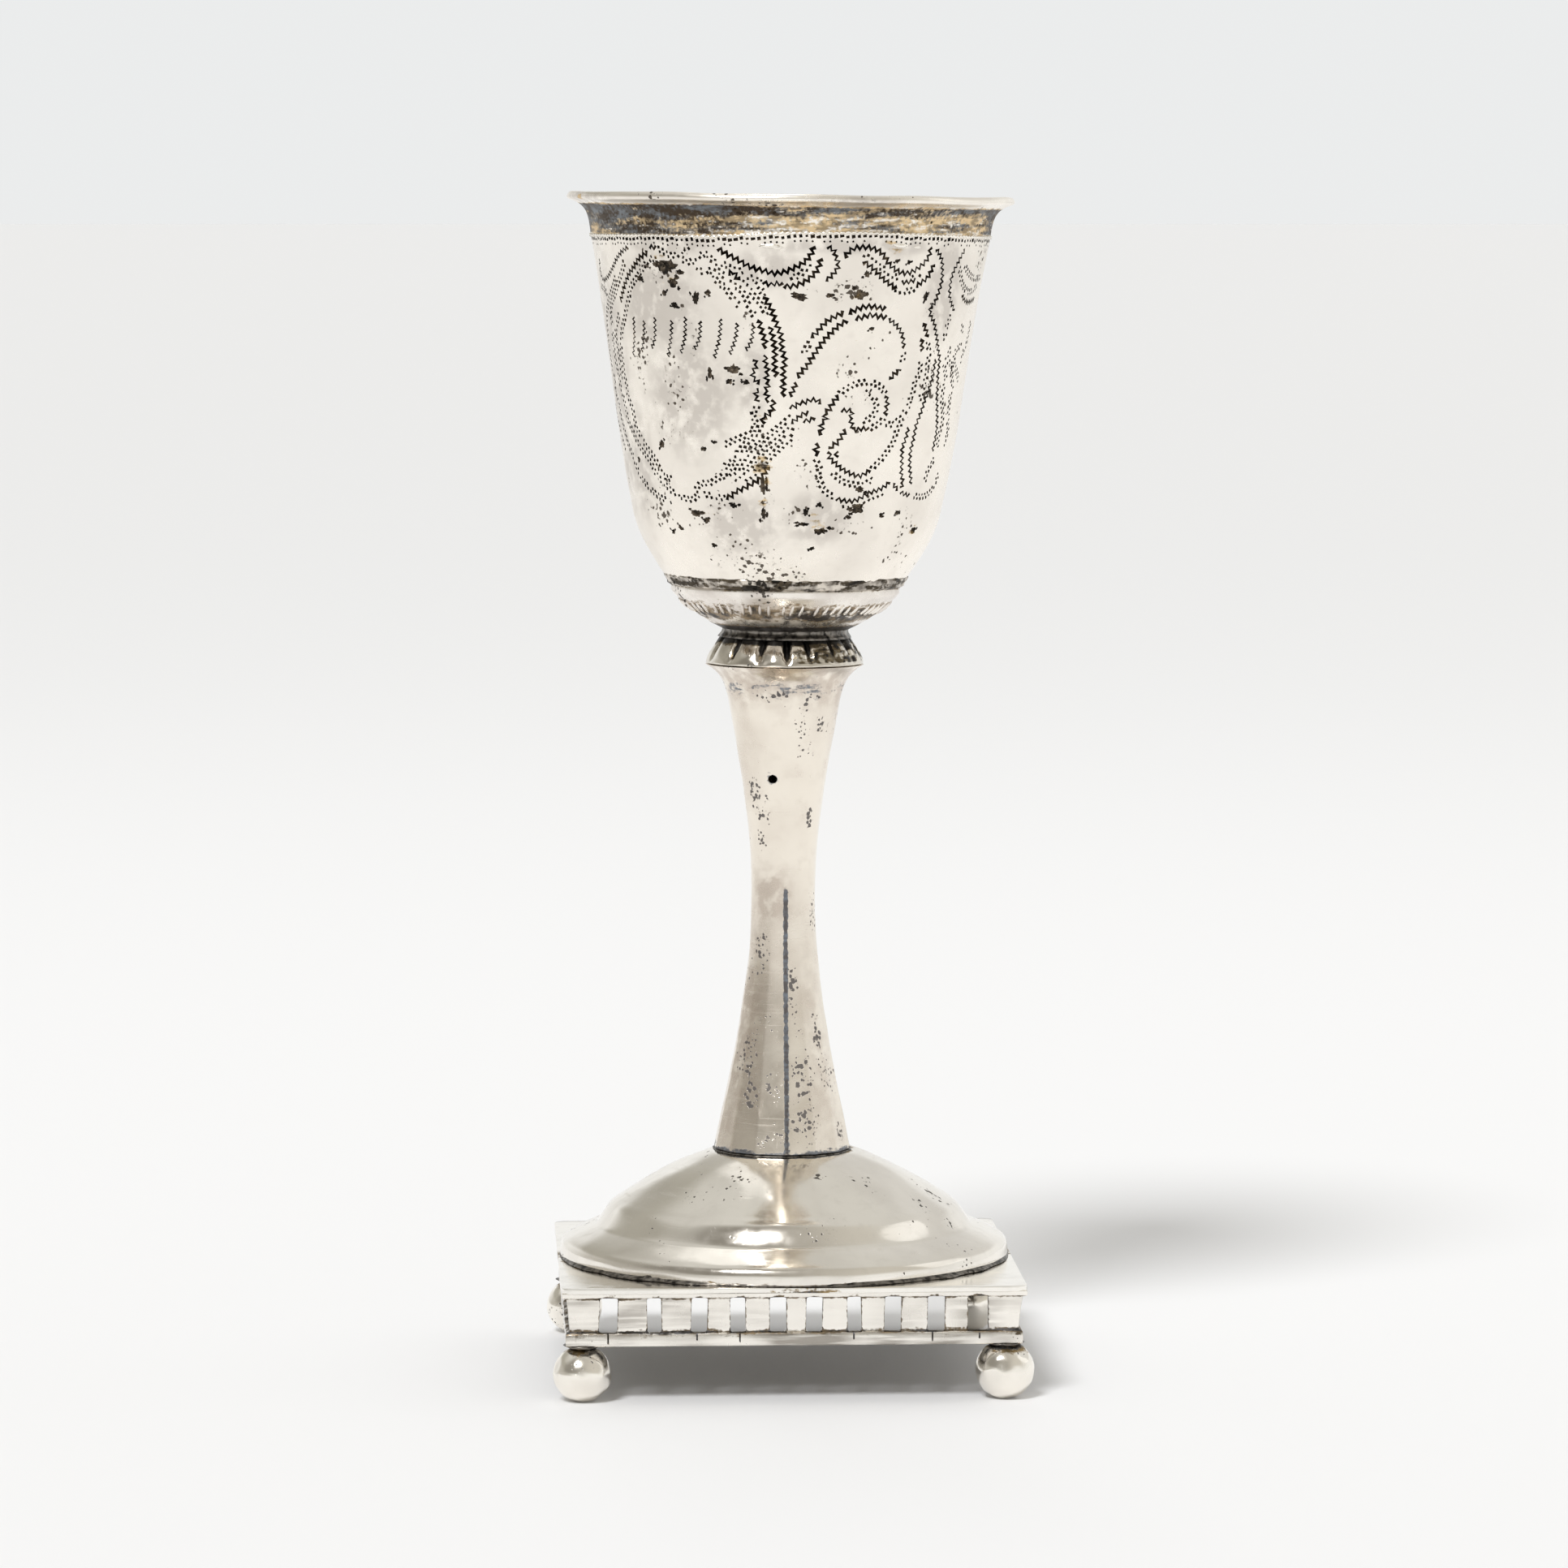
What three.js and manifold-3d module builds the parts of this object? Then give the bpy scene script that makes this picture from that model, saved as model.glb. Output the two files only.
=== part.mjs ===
// A small silver chalice, put together with solder from sheet, wire and cast pieces. Four ball
// feet carry a square base with a pierced gallery. A raised round dome stands on the base, a
// rolled trumpet stem on the dome, a lobed collar on the stem, and a shallow saucer and the
// raised bowl on the collar. Millimetres, +Z up. The origin is on the ground, under the middle
// of the base. The front, with the stem's vent hole, looks towards -Y.

import * as THREE from 'three';
import { mergeVertices } from 'three/addons/utils/BufferGeometryUtils.js';
import Module from 'manifold-3d';

const wasm = await Module();
wasm.setup();

// Joints between the pieces
const solderGap = 0.05;             // flat on flat
const seatGap = 0.3;                // under a piece that leans

// Ball feet
const ballRadius = 3.8;
const ballFlatRadius = 1.3;         // the worn spot it stands on
const ballNeckRadius = 2.0;         // the solder neck on top
const ballNeckLength = 0.28;
const ballInset = 2.65;             // from the base's edge in to the ball's centre

// Square base: a plate over four mitred gallery strips
const plateThickness = 0.6;
const plateMargin = 0.3;            // past the dome's foot
const plateHoleMargin = 4.5;        // from the dome's foot in to the opening below it
const galleryHeight = 6.7;
const galleryThickness = 1.9;
const galleryTaper = 0.5;           // how far the lower rail stands in
const galleryRecess = 0.5;          // depth of the pierced band behind its rails
const lowerRailHeight = 1.6;
const upperRailHeight = 0.7;

// Slots, sawn by eye: each is a little off its even place and width
const slotCount = 10;
const slotPitch = 5.12;
const slotWidth = 2.05;
const slotCorner = 0.4;
const slotDrift = [-0.2, 0.4, 0.9, 0.6, 0.5, -0.1, -0.2, -0.5, -0.2, -0.1];
const slotSpread = [0.25, -0.25, 0, -0.15, 0.05, 0, -0.3, 0.05, 0.15, 0.5];

// Foot dome
const domeFootRadius = 28.75;
const domeFootHeight = 1.7;
const domeEdgeRound = 0.8;
const domeRingRadius = 24.5;        // inner edge of the low outer ring
const domeRingRise = 2.4;
const domeRidgeRadius = 22.0;       // ridge between the steep band and the crown
const domeRidgeRise = 2.7;
const domeCrownRise = 6.65;
const domeCrownBulge = 0.85;        // how far the crown swells past a straight cone
const domeWall = 0.9;

// Stem
const stemHeight = 62.1;
const stemFootRadius = 8.85;
const stemWaistRadius = 4.04;
const stemWaistHeight = 32.7;
const stemThroatRadius = 7.15;
const stemThroatHeight = 57.7;
const stemLipRadius = 10.1;
const stemWall = 0.9;
const stemFacets = 14;              // hammered flats round the foot, gone at the waist
const stemLean = 0.3;               // degrees, towards +X
const stemShift = -0.22;            // its foot stands this far off the middle
const ventRadius = 0.6;
const ventHeight = 47.7;
const ventBearing = -18;            // degrees round from the front

// Lobed collar
const collarHeight = 3.5;
const collarNeckRadius = 8.3;
const collarLobes = 16;
const collarGroove = 0.9;           // depth at the neck, running out above the lip
const collarWall = 1.0;

// Saucer: a domed disc with a flat filed rim
const saucerRadius = 14.6;
const saucerSphere = 19.7;          // radius it was domed to
const saucerThickness = 1.2;
const saucerRimHeight = 0.8;

// Bowl
const bowlLean = 0.55;              // degrees, on top of the stem's
const bowlOverhang = 0.3;           // past the saucer's rim
const bowlBottomSag = 1.2;
const bowlBellyRadius = 19.86;
const bowlBellyHeight = 9.6;
const bowlThroatRadius = 25.57;
const bowlThroatHeight = 44.25;
const bowlLipRadius = 28.4;
const bowlHeight = 48.5;            // to the underside of the lip's edge
const bowlWall = 1.0;

// Levels, from the ground up
const ballCentre = Math.sqrt(ballRadius ** 2 - ballFlatRadius ** 2);
const ballTop = ballCentre + Math.sqrt(ballRadius ** 2 - ballNeckRadius ** 2) + ballNeckLength;
const galleryLevel = ballTop + solderGap;
const plateLevel = galleryLevel + galleryHeight + solderGap;
const domeLevel = plateLevel + plateThickness + solderGap;
const domeHeight = domeFootHeight + domeRingRise + domeRidgeRise + domeCrownRise;
const stemLevel = domeLevel + domeHeight + seatGap;
const collarLevel = stemHeight + solderGap;
const baseHalf = domeFootRadius + plateMargin;

// Number of flats round each turned piece
const roundSegments = 40;
const stemSegments = 2 * stemFacets;
const collarSegments = 4 * collarLobes;
const ballSegments = 16;

const mergeTolerance = 1e-4;

// Joins a geometry's shared corners and drops the triangles that collapse on the axis.
function closedMesh(geometry) {
  geometry.deleteAttribute('normal');
  geometry.deleteAttribute('uv');
  const merged = mergeVertices(geometry, mergeTolerance);
  const corners = merged.index.array;
  const kept = [];
  for (let i = 0; i < corners.length; i += 3) {
    const [a, b, c] = corners.slice(i, i + 3);
    if (a !== b && b !== c && c !== a) kept.push(a, b, c);
  }
  merged.setIndex(kept);
  return merged;
}

function toSolid(geometry) {
  const mesh = closedMesh(geometry);
  return new wasm.Manifold(new wasm.Mesh({
    numProp: 3,
    vertProperties: new Float32Array(mesh.attributes.position.array),
    triVerts: new Uint32Array(mesh.index.array),
  }));
}

function toGeometry(solid) {
  const mesh = solid.getMesh();
  const geometry = new THREE.BufferGeometry();
  geometry.setAttribute('position', new THREE.BufferAttribute(new Float32Array(mesh.vertProperties), 3));
  geometry.setIndex(new THREE.BufferAttribute(new Uint32Array(mesh.triVerts), 1));
  return geometry;
}

// Turns an outline of (radius, height) points round the Z axis. The outside runs upwards.
function turned(outline, segments) {
  const lathe = new THREE.LatheGeometry(outline, segments);
  lathe.rotateX(Math.PI / 2);
  return closedMesh(lathe);
}

const point = (radius, height) => new THREE.Vector2(radius, height);

function bezier(start, startHandle, endHandle, end, divisions) {
  return new THREE.CubicBezierCurve(start, startHandle, endHandle, end).getPoints(divisions);
}

// Points on a circle about a centre on the axis or off it, angles in degrees from +radius.
function arc(centre, radius, fromAngle, toAngle, divisions) {
  const points = [];
  for (let i = 0; i <= divisions; i += 1) {
    const angle = THREE.MathUtils.degToRad(fromAngle + (toAngle - fromAngle) * (i / divisions));
    points.push(point(centre.x + radius * Math.cos(angle), centre.y + radius * Math.sin(angle)));
  }
  return points;
}

// The line that runs a wall's thickness inside another, both read from bottom to top.
function offsetInside(line, distance) {
  return line.map((here, i) => {
    const before = line[Math.max(i - 1, 0)];
    const after = line[Math.min(i + 1, line.length - 1)];
    const along = after.clone().sub(before).normalize();
    return point(here.x - along.y * distance, here.y + along.x * distance);
  });
}

// Ball foot: a cast ball, flat below, with the solder neck that holds it above.
function ballFoot() {
  const flatAngle = -90 + THREE.MathUtils.radToDeg(Math.asin(ballFlatRadius / ballRadius));
  const neckAngle = THREE.MathUtils.radToDeg(Math.acos(ballNeckRadius / ballRadius));
  const side = arc(point(0, ballCentre), ballRadius, flatAngle, neckAngle, 6);
  return turned(
    [point(0, 0), ...side, point(ballNeckRadius, ballTop), point(0, ballTop)],
    ballSegments,
  );
}

// Half the section of the gallery wire: rails above and below a hollowed band.
function gallerySection() {
  const bandFoot = lowerRailHeight + 0.2;
  const bandHead = galleryHeight - upperRailHeight;
  const lowerFace = -galleryTaper;
  const section = new THREE.Shape();
  section.moveTo(lowerFace - 0.1, 0);
  section.lineTo(lowerFace, lowerRailHeight - 0.3);
  section.lineTo(lowerFace, lowerRailHeight);
  section.lineTo(lowerFace - galleryRecess, bandFoot);
  section.lineTo(-galleryRecess - 0.6 * galleryTaper, (bandFoot + bandHead) / 2);
  section.lineTo(-galleryRecess, bandHead);
  section.lineTo(0, bandHead + 0.15);
  section.lineTo(0, galleryHeight);
  section.lineTo(-galleryThickness, galleryHeight);
  section.lineTo(-galleryThickness, 0);
  section.closePath();
  return section;
}

// Outline of one slot, standing in the X-Z plane, with clipped corners.
function slotPrism(centre, width) {
  const foot = lowerRailHeight;
  const head = galleryHeight - upperRailHeight + 0.15;
  const half = width / 2;
  const outline = new THREE.Shape([
    point(centre - half, foot),
    point(centre + half, foot),
    point(centre + half, head - slotCorner),
    point(centre + half - slotCorner, head),
    point(centre - half + slotCorner, head),
    point(centre - half, head - slotCorner),
  ]);
  const prism = new THREE.ExtrudeGeometry(outline, { depth: 3 * galleryThickness, bevelEnabled: false });
  prism.rotateX(Math.PI / 2);
  prism.translate(0, galleryThickness - baseHalf + galleryThickness / 2, 0);
  return toSolid(prism);
}

// One gallery strip, drawn at the front and turned to its side: moulded wire, pierced by the
// slots and mitred at both ends.
function galleryStrip(side) {
  const wire = new THREE.ExtrudeGeometry(gallerySection(), { depth: 2 * baseHalf, bevelEnabled: false });
  const outwards = new THREE.Vector3(0, -1, 0);
  const upwards = new THREE.Vector3(0, 0, 1);
  const along = new THREE.Vector3(-1, 0, 0);
  wire.applyMatrix4(new THREE.Matrix4().makeBasis(outwards, upwards, along));
  wire.translate(baseHalf, -baseHalf, 0);

  const reach = 2 * baseHalf;
  const wedge = new THREE.ExtrudeGeometry(
    new THREE.Shape([point(-reach, -reach - solderGap), point(reach, -reach - solderGap), point(0, -solderGap)]),
    { depth: 2 * galleryHeight, bevelEnabled: false },
  );
  wedge.translate(0, 0, -galleryHeight / 2);

  let strip = toSolid(wire).intersect(toSolid(wedge));
  for (let i = 0; i < slotCount; i += 1) {
    const pick = (i + 3 * side) % slotDrift.length;
    const evenPlace = slotPitch * (i - (slotCount - 1) / 2);
    strip = strip.subtract(slotPrism(evenPlace + slotDrift[pick], slotWidth + slotSpread[pick]));
  }
  return toGeometry(strip);
}

// Base plate: square sheet, open below the dome.
function basePlate() {
  const sheet = new THREE.Shape([
    point(-baseHalf, -baseHalf),
    point(baseHalf, -baseHalf),
    point(baseHalf, baseHalf),
    point(-baseHalf, baseHalf),
  ]);
  const opening = new THREE.Path();
  opening.absarc(0, 0, domeFootRadius - plateHoleMargin, 0, 2 * Math.PI, true);
  sheet.holes.push(opening);
  const options = { depth: plateThickness, bevelEnabled: false, curveSegments: roundSegments / 2 };
  return closedMesh(new THREE.ExtrudeGeometry(sheet, options));
}

// Foot dome: raised sheet with an upright foot, a low ring, a steep band and a swelling crown.
function footDome() {
  const ringFoot = domeFootHeight;
  const ringHead = ringFoot + domeRingRise;
  const ridge = ringHead + domeRidgeRise;
  const crown = ridge + domeCrownRise;
  const seat = stemFootRadius + seatGap;
  const slope = point(domeRidgeRadius - seat, ridge - crown);
  const swell = point(domeCrownBulge, domeCrownBulge);
  const profile = [
    point(domeFootRadius, 0),
    ...arc(point(domeFootRadius - domeEdgeRound, ringFoot), domeEdgeRound, 0, 65, 2),
    point(domeRingRadius, ringHead - 0.2),
    point(domeRingRadius - 0.5, ringHead + 0.1),
    ...bezier(
      point(domeRidgeRadius, ridge),
      point(domeRidgeRadius, ridge).addScaledVector(slope, -0.3).addScaledVector(swell, 0.9),
      point(seat, crown).addScaledVector(slope, 0.3).addScaledVector(swell, 0.5),
      point(seat, crown),
      4,
    ),
  ];
  const lining = offsetInside(profile, domeWall).reverse();
  return turned([...profile, point(0, crown), point(0, crown - domeWall), ...lining, profile[0]], roundSegments);
}

// Stem outline, foot to lip: a flared foot, a waist, a throat and a turned-out lip.
function stemOutline(lowerDivisions, upperDivisions, lipDivisions) {
  const foot = point(stemFootRadius, 0);
  const waist = point(stemWaistRadius, stemWaistHeight);
  const throat = point(stemThroatRadius, stemThroatHeight);
  const lip = point(stemLipRadius, stemHeight);
  const upperHeight = stemThroatHeight - stemWaistHeight;
  const lipRise = stemHeight - stemThroatHeight;
  const footHandle = point(
    stemFootRadius - 0.65 * (stemFootRadius - stemWaistRadius),
    0.45 * stemWaistHeight,
  );
  const throatHandle = point(
    stemThroatRadius - 0.44 * (stemThroatRadius - stemWaistRadius),
    stemThroatHeight - 0.32 * upperHeight,
  );
  const lower = bezier(foot, footHandle, point(stemWaistRadius, 0.7 * stemWaistHeight), waist, lowerDivisions);
  const upper = bezier(
    waist,
    point(stemWaistRadius, stemWaistHeight + 0.36 * upperHeight),
    throatHandle,
    throat,
    upperDivisions,
  );
  const flare = bezier(
    throat,
    point(stemThroatRadius + 0.1 * lipRise, stemThroatHeight + 0.5 * lipRise),
    point(stemThroatRadius + 0.25 * lipRise, stemThroatHeight + 0.75 * lipRise),
    lip,
    lipDivisions,
  );
  return [...lower, ...upper.slice(1), ...flare.slice(1)];
}

// Stem: rolled sheet, hammered into flats towards the foot, with a vent hole at the front.
function stem() {
  const outside = stemOutline(6, 5, 3);
  const bore = stemOutline(3, 2, 2).map((p) => point(p.x - stemWall, p.y)).reverse();
  const tube = turned([...outside, ...bore, outside[0]], stemSegments);

  // Every second column of corners is drawn in, which leaves a flat between its neighbours.
  const places = tube.attributes.position;
  const flatness = 1 - Math.cos(Math.PI / stemFacets);
  for (let i = 0; i < places.count; i += 1) {
    const x = places.getX(i);
    const y = places.getY(i);
    const column = Math.round((Math.atan2(x, -y) / (2 * Math.PI)) * stemSegments);
    const fade = Math.max(0, 1 - places.getZ(i) / stemWaistHeight);
    const pull = column % 2 === 0 ? 1 : 1 - flatness * fade;
    places.setXY(i, x * pull, y * pull);
  }

  const vent = new THREE.CylinderGeometry(ventRadius, ventRadius, stemLipRadius, 8);
  vent.translate(0, -stemLipRadius / 2, 0);
  vent.rotateZ(THREE.MathUtils.degToRad(ventBearing));
  vent.translate(0, 0, ventHeight);
  return toGeometry(toSolid(tube).subtract(toSolid(vent)));
}

// Lobed collar: a cast ring whose rounded lobes part at grooves that deepen to the neck.
function lobedCollar() {
  const bore = collarNeckRadius - collarGroove - collarWall;
  const side = bezier(
    point(stemLipRadius, 0),
    point(stemLipRadius + 0.1, 0.4 * collarHeight),
    point(collarNeckRadius + 1.0, 0.8 * collarHeight),
    point(collarNeckRadius, collarHeight),
    5,
  );
  const ring = turned([point(bore, 0), ...side, point(bore, collarHeight), point(bore, 0)], collarSegments);
  const places = ring.attributes.position;
  for (let i = 0; i < places.count; i += 1) {
    const x = places.getX(i);
    const y = places.getY(i);
    const radius = Math.hypot(x, y);
    const deepening = Math.min(1, Math.max(0, places.getZ(i) / collarHeight - 0.12));
    const lobe = Math.abs(Math.cos((collarLobes / 2) * Math.atan2(y, x)));
    const outerSide = radius > bore + collarWall / 2 ? 1 : 0;
    const pull = 1 - (outerSide * collarGroove * deepening * (1 - lobe)) / radius;
    places.setXY(i, x * pull, y * pull);
  }
  return ring;
}

// How far a sphere has risen from its lowest point at a given radius.
const sphereRise = (sphere, radius) => sphere - Math.sqrt(sphere ** 2 - radius ** 2);

const collarBore = collarNeckRadius - collarGroove - collarWall;
const saucerLevel = seatGap - sphereRise(saucerSphere, collarBore);
const saucerRimTop = sphereRise(saucerSphere, saucerRadius) + saucerRimHeight;

// Saucer: its lowest point is at height 0.
function saucer() {
  const centre = point(0, saucerSphere);
  const angleAt = (radius, sphere) => -THREE.MathUtils.radToDeg(Math.acos(radius / sphere));
  const innerSphere = saucerSphere - saucerThickness;
  const innerRim = Math.sqrt(innerSphere ** 2 - (saucerSphere - saucerRimTop) ** 2);
  return turned([
    ...arc(centre, saucerSphere, -90, angleAt(saucerRadius, saucerSphere), 5),
    point(saucerRadius, saucerRimTop),
    ...arc(centre, innerSphere, angleAt(innerRim, innerSphere), -90, 3),
  ], roundSegments);
}

// Bowl: a raised beaker on a sagging bottom, with a rolled-out lip. Height 0 is its seat.
function bowl() {
  const seat = point(saucerRadius + bowlOverhang, 0.1);
  const belly = point(bowlBellyRadius, bowlBellyHeight);
  const throat = point(bowlThroatRadius, bowlThroatHeight);
  const lip = point(bowlLipRadius, bowlHeight);
  const sideHeight = bowlThroatHeight - bowlBellyHeight;
  const lipRise = bowlHeight - bowlThroatHeight;
  const bellyHandle = 0.37 * bowlBellyHeight;
  const sideHandle = 0.33 * sideHeight;
  const wall = [
    ...bezier(
      seat,
      point(seat.x + 0.6 * bellyHandle, seat.y + 0.8 * bellyHandle),
      point(belly.x - 0.165 * bellyHandle, belly.y - bellyHandle),
      belly,
      3,
    ),
    ...bezier(
      belly,
      point(belly.x + 0.2 * sideHandle, belly.y + sideHandle),
      point(throat.x - 0.2 * sideHandle, throat.y - sideHandle),
      throat,
      4,
    ).slice(1),
    ...bezier(
      throat,
      point(throat.x + 0.07 * lipRise, throat.y + 0.62 * lipRise),
      point(throat.x + 0.16 * lipRise, throat.y + 0.85 * lipRise),
      lip,
      4,
    ).slice(1),
  ];
  const lining = offsetInside(wall, bowlWall);
  const edge = lip.clone().add(lining[lining.length - 1]).multiplyScalar(0.5);
  const outwards = lip.clone().sub(wall[wall.length - 2]).normalize();
  const bottomEdge = point(seat.x - 2 * bowlWall, 0);
  const floorEdge = point(bottomEdge.x, bowlWall);
  return turned([
    point(0, -bowlBottomSag),
    point(0.6 * bottomEdge.x, -0.64 * bowlBottomSag),
    bottomEdge,
    ...wall,
    edge.addScaledVector(outwards, bowlWall / 2),
    ...lining.slice(1).reverse(),
    floorEdge,
    point(0.6 * floorEdge.x, bowlWall - 0.64 * bowlBottomSag),
    point(0, bowlWall - bowlBottomSag),
  ], roundSegments);
}

const brightSilver = { color: 0xeee9df, metalness: 1, roughness: 0.25 };
const brushedSilver = { color: 0xe6dfd3, metalness: 1, roughness: 0.38 };
const darkSilver = { color: 0xb5aea4, metalness: 1, roughness: 0.45 };

function piece(name, geometry, look) {
  const mesh = new THREE.Mesh(geometry, new THREE.MeshStandardMaterial(look));
  mesh.name = name;
  return mesh;
}

const chalice = new THREE.Group();

const feet = [
  ['foot_ball_front_left', -1, -1],
  ['foot_ball_front_right', 1, -1],
  ['foot_ball_back_right', 1, 1],
  ['foot_ball_back_left', -1, 1],
];
for (const [name, sideways, depth] of feet) {
  const ball = piece(name, ballFoot(), brightSilver);
  ball.position.set(sideways * (baseHalf - ballInset), depth * (baseHalf - ballInset), 0);
  chalice.add(ball);
}

['front', 'right', 'back', 'left'].forEach((name, side) => {
  const strip = piece(`gallery_${name}`, galleryStrip(side), brushedSilver);
  strip.position.z = galleryLevel;
  strip.rotation.z = (side * Math.PI) / 2;
  chalice.add(strip);
});

const plate = piece('base_plate', basePlate(), brushedSilver);
plate.position.z = plateLevel;
chalice.add(plate);

const dome = piece('foot_dome', footDome(), brightSilver);
dome.position.z = domeLevel;
chalice.add(dome);

const column = new THREE.Group();
column.position.set(stemShift, 0, stemLevel);
column.rotation.y = THREE.MathUtils.degToRad(stemLean);
column.add(piece('stem', stem(), brushedSilver));
chalice.add(column);

const collar = piece('collar', lobedCollar(), darkSilver);
collar.position.z = collarLevel;
column.add(collar);

const cup = new THREE.Group();
cup.position.z = collarLevel + collarHeight;
cup.rotation.y = THREE.MathUtils.degToRad(bowlLean);
column.add(cup);

const cupSaucer = piece('saucer', saucer(), brushedSilver);
cupSaucer.position.z = saucerLevel;
cup.add(cupSaucer);

const cupBowl = piece('bowl', bowl(), brightSilver);
cupBowl.position.z = saucerLevel + saucerRimTop + seatGap;
cup.add(cupBowl);

export default chalice;
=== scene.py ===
# A small old silver chalice, soldered together from raised, rolled and cast pieces. The sections
# follow the cup as it is put together: the room it stands in, then the ball feet, the pierced
# gallery, the base plate, the dome, the stem, the collar, the saucer and the engraved bowl.
# Shapes are drawn in millimetres and brought to metres when a piece is finished.

import math
import random
from itertools import product

import bmesh
import bpy
from mathutils import Matrix, Vector, noise
from mathutils.geometry import interpolate_bezier


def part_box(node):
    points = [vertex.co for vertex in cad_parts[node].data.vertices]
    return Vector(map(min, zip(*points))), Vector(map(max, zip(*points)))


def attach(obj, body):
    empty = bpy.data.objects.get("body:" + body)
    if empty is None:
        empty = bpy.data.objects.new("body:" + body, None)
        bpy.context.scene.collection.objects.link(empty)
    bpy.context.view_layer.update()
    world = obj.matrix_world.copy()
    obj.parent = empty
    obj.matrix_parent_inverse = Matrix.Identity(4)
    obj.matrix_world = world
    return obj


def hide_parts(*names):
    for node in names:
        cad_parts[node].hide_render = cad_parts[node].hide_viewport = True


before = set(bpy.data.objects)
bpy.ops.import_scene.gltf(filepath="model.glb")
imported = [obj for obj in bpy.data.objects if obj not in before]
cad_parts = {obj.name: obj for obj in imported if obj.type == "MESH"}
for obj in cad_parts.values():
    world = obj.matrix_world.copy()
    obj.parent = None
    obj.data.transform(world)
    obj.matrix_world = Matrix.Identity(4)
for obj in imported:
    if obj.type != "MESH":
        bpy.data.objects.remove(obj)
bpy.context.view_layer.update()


# Camera. It stands a little over the foot's level and looks slightly down, a touch from the
# left of the cup's front, with a long lens.

camera_data = bpy.data.cameras.new("camera")
camera_data.lens = 157.06
camera_data.sensor_width = 36.0
camera_data.clip_start = 0.01
camera = bpy.data.objects.new("camera", camera_data)
camera.location = (-0.0421, -0.8708, 0.14845)
camera.rotation_euler = (math.radians(85.18), 0.0, math.radians(-2.77))
bpy.context.scene.collection.objects.link(camera)
bpy.context.scene.camera = camera
bpy.context.scene.view_settings.view_transform = "Standard"


# Studio floor. A wide sheet of pale paper, painted greyer with distance from the cup as painted
# shade for the light falling off, and a pale screen far off that only the camera sees, so that no
# edge shows behind the cup.

mm = 0.001
floor_radius = 60000.0
screen_height = 40000.0
paper_near = (0.868, 0.876, 0.898, 1)
paper_far_painted_shade = (0.823, 0.832, 0.852, 1)
screen_tone = (0.832, 0.842, 0.842, 1)


class Wiring:
    """Adds nodes to a tree: a socket or a plain value may be given for each input."""

    def __init__(self, tree):
        self.tree = tree

    def node(self, kind, **settings):
        node = self.tree.nodes.new(kind)
        for key, value in settings.items():
            setattr(node, key, value)
        return node

    def feed(self, socket, value):
        if isinstance(value, bpy.types.NodeSocket):
            self.tree.links.new(value, socket)
        else:
            socket.default_value = value

    def maths(self, operation, first, second=0.0, clamp=False):
        node = self.node("ShaderNodeMath", operation=operation, use_clamp=clamp)
        self.feed(node.inputs[0], first)
        self.feed(node.inputs[1], second)
        return node.outputs[0]

    def plus(self, first, second, clamp=False):
        return self.maths("ADD", first, second, clamp)

    def less(self, first, second):
        return self.maths("SUBTRACT", first, second)

    def times(self, first, second):
        return self.maths("MULTIPLY", first, second)

    def sway(self, grain, amount):
        """A grain that swings to both sides of nothing by half of an amount."""
        return self.times(self.less(grain, 0.5), amount)

    def remap(self, value, low, high):
        """0 below the low value, 1 above the high one, and a soft step between them."""
        node = self.node("ShaderNodeMapRange", interpolation_type="SMOOTHSTEP")
        for socket, given in zip(node.inputs, (value, low, high, 0.0, 1.0)):
            self.feed(socket, given)
        return node.outputs[0]

    def mix(self, amount, first, second):
        node = self.node("ShaderNodeMix", data_type="RGBA")
        self.feed(node.inputs[0], amount)
        self.feed(node.inputs[6], first)
        self.feed(node.inputs[7], second)
        return node.outputs[2]

    def grain(self, coords, scale, detail=2.0, stretch=None):
        if stretch:
            mapping = self.node("ShaderNodeMapping")
            self.feed(mapping.inputs["Vector"], coords)
            mapping.inputs["Scale"].default_value = stretch
            coords = mapping.outputs[0]
        node = self.node("ShaderNodeTexNoise")
        self.feed(node.inputs["Vector"], coords)
        self.feed(node.inputs["Scale"], scale)
        self.feed(node.inputs["Detail"], detail)
        return node.outputs[0]


def outline_mesh(outline):
    """A chain of edges through (radius, height) points, in the X-Z plane."""
    bm = bmesh.new()
    corners = [bm.verts.new((radius, 0.0, height)) for radius, height in outline]
    for here, there in zip(corners, corners[1:]):
        bm.edges.new((here, there))
    return bm


def turn(outline, steps):
    """Spins an outline once round the Z axis and closes it on the axis."""
    bm = outline_mesh(outline)
    bmesh.ops.spin(
        bm, geom=bm.verts[:] + bm.edges[:], cent=(0, 0, 0), axis=(0, 0, 1),
        dvec=(0, 0, 0), angle=2 * math.pi, steps=steps, use_merge=True,
    )
    bmesh.ops.remove_doubles(bm, verts=bm.verts[:], dist=1e-4)
    bmesh.ops.recalc_face_normals(bm, faces=bm.faces[:])
    return bm


def finished(bm, name, place=Matrix()):
    """Brings a piece drawn in millimetres to its place in metres, as an object at the origin."""
    bmesh.ops.transform(bm, matrix=place @ Matrix.Scale(mm, 4), verts=bm.verts[:])
    mesh = bpy.data.meshes.new(name)
    bm.to_mesh(mesh)
    bm.free()
    mesh.shade_smooth()
    piece = bpy.data.objects.new(name, mesh)
    bpy.context.scene.collection.objects.link(piece)
    return piece


def new_finish(name):
    """A material, with the wiring of its tree and the inputs of its shader."""
    finish = bpy.data.materials.new(name)
    finish.use_nodes = True
    return finish, Wiring(finish.node_tree), finish.node_tree.nodes["Principled BSDF"].inputs


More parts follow.
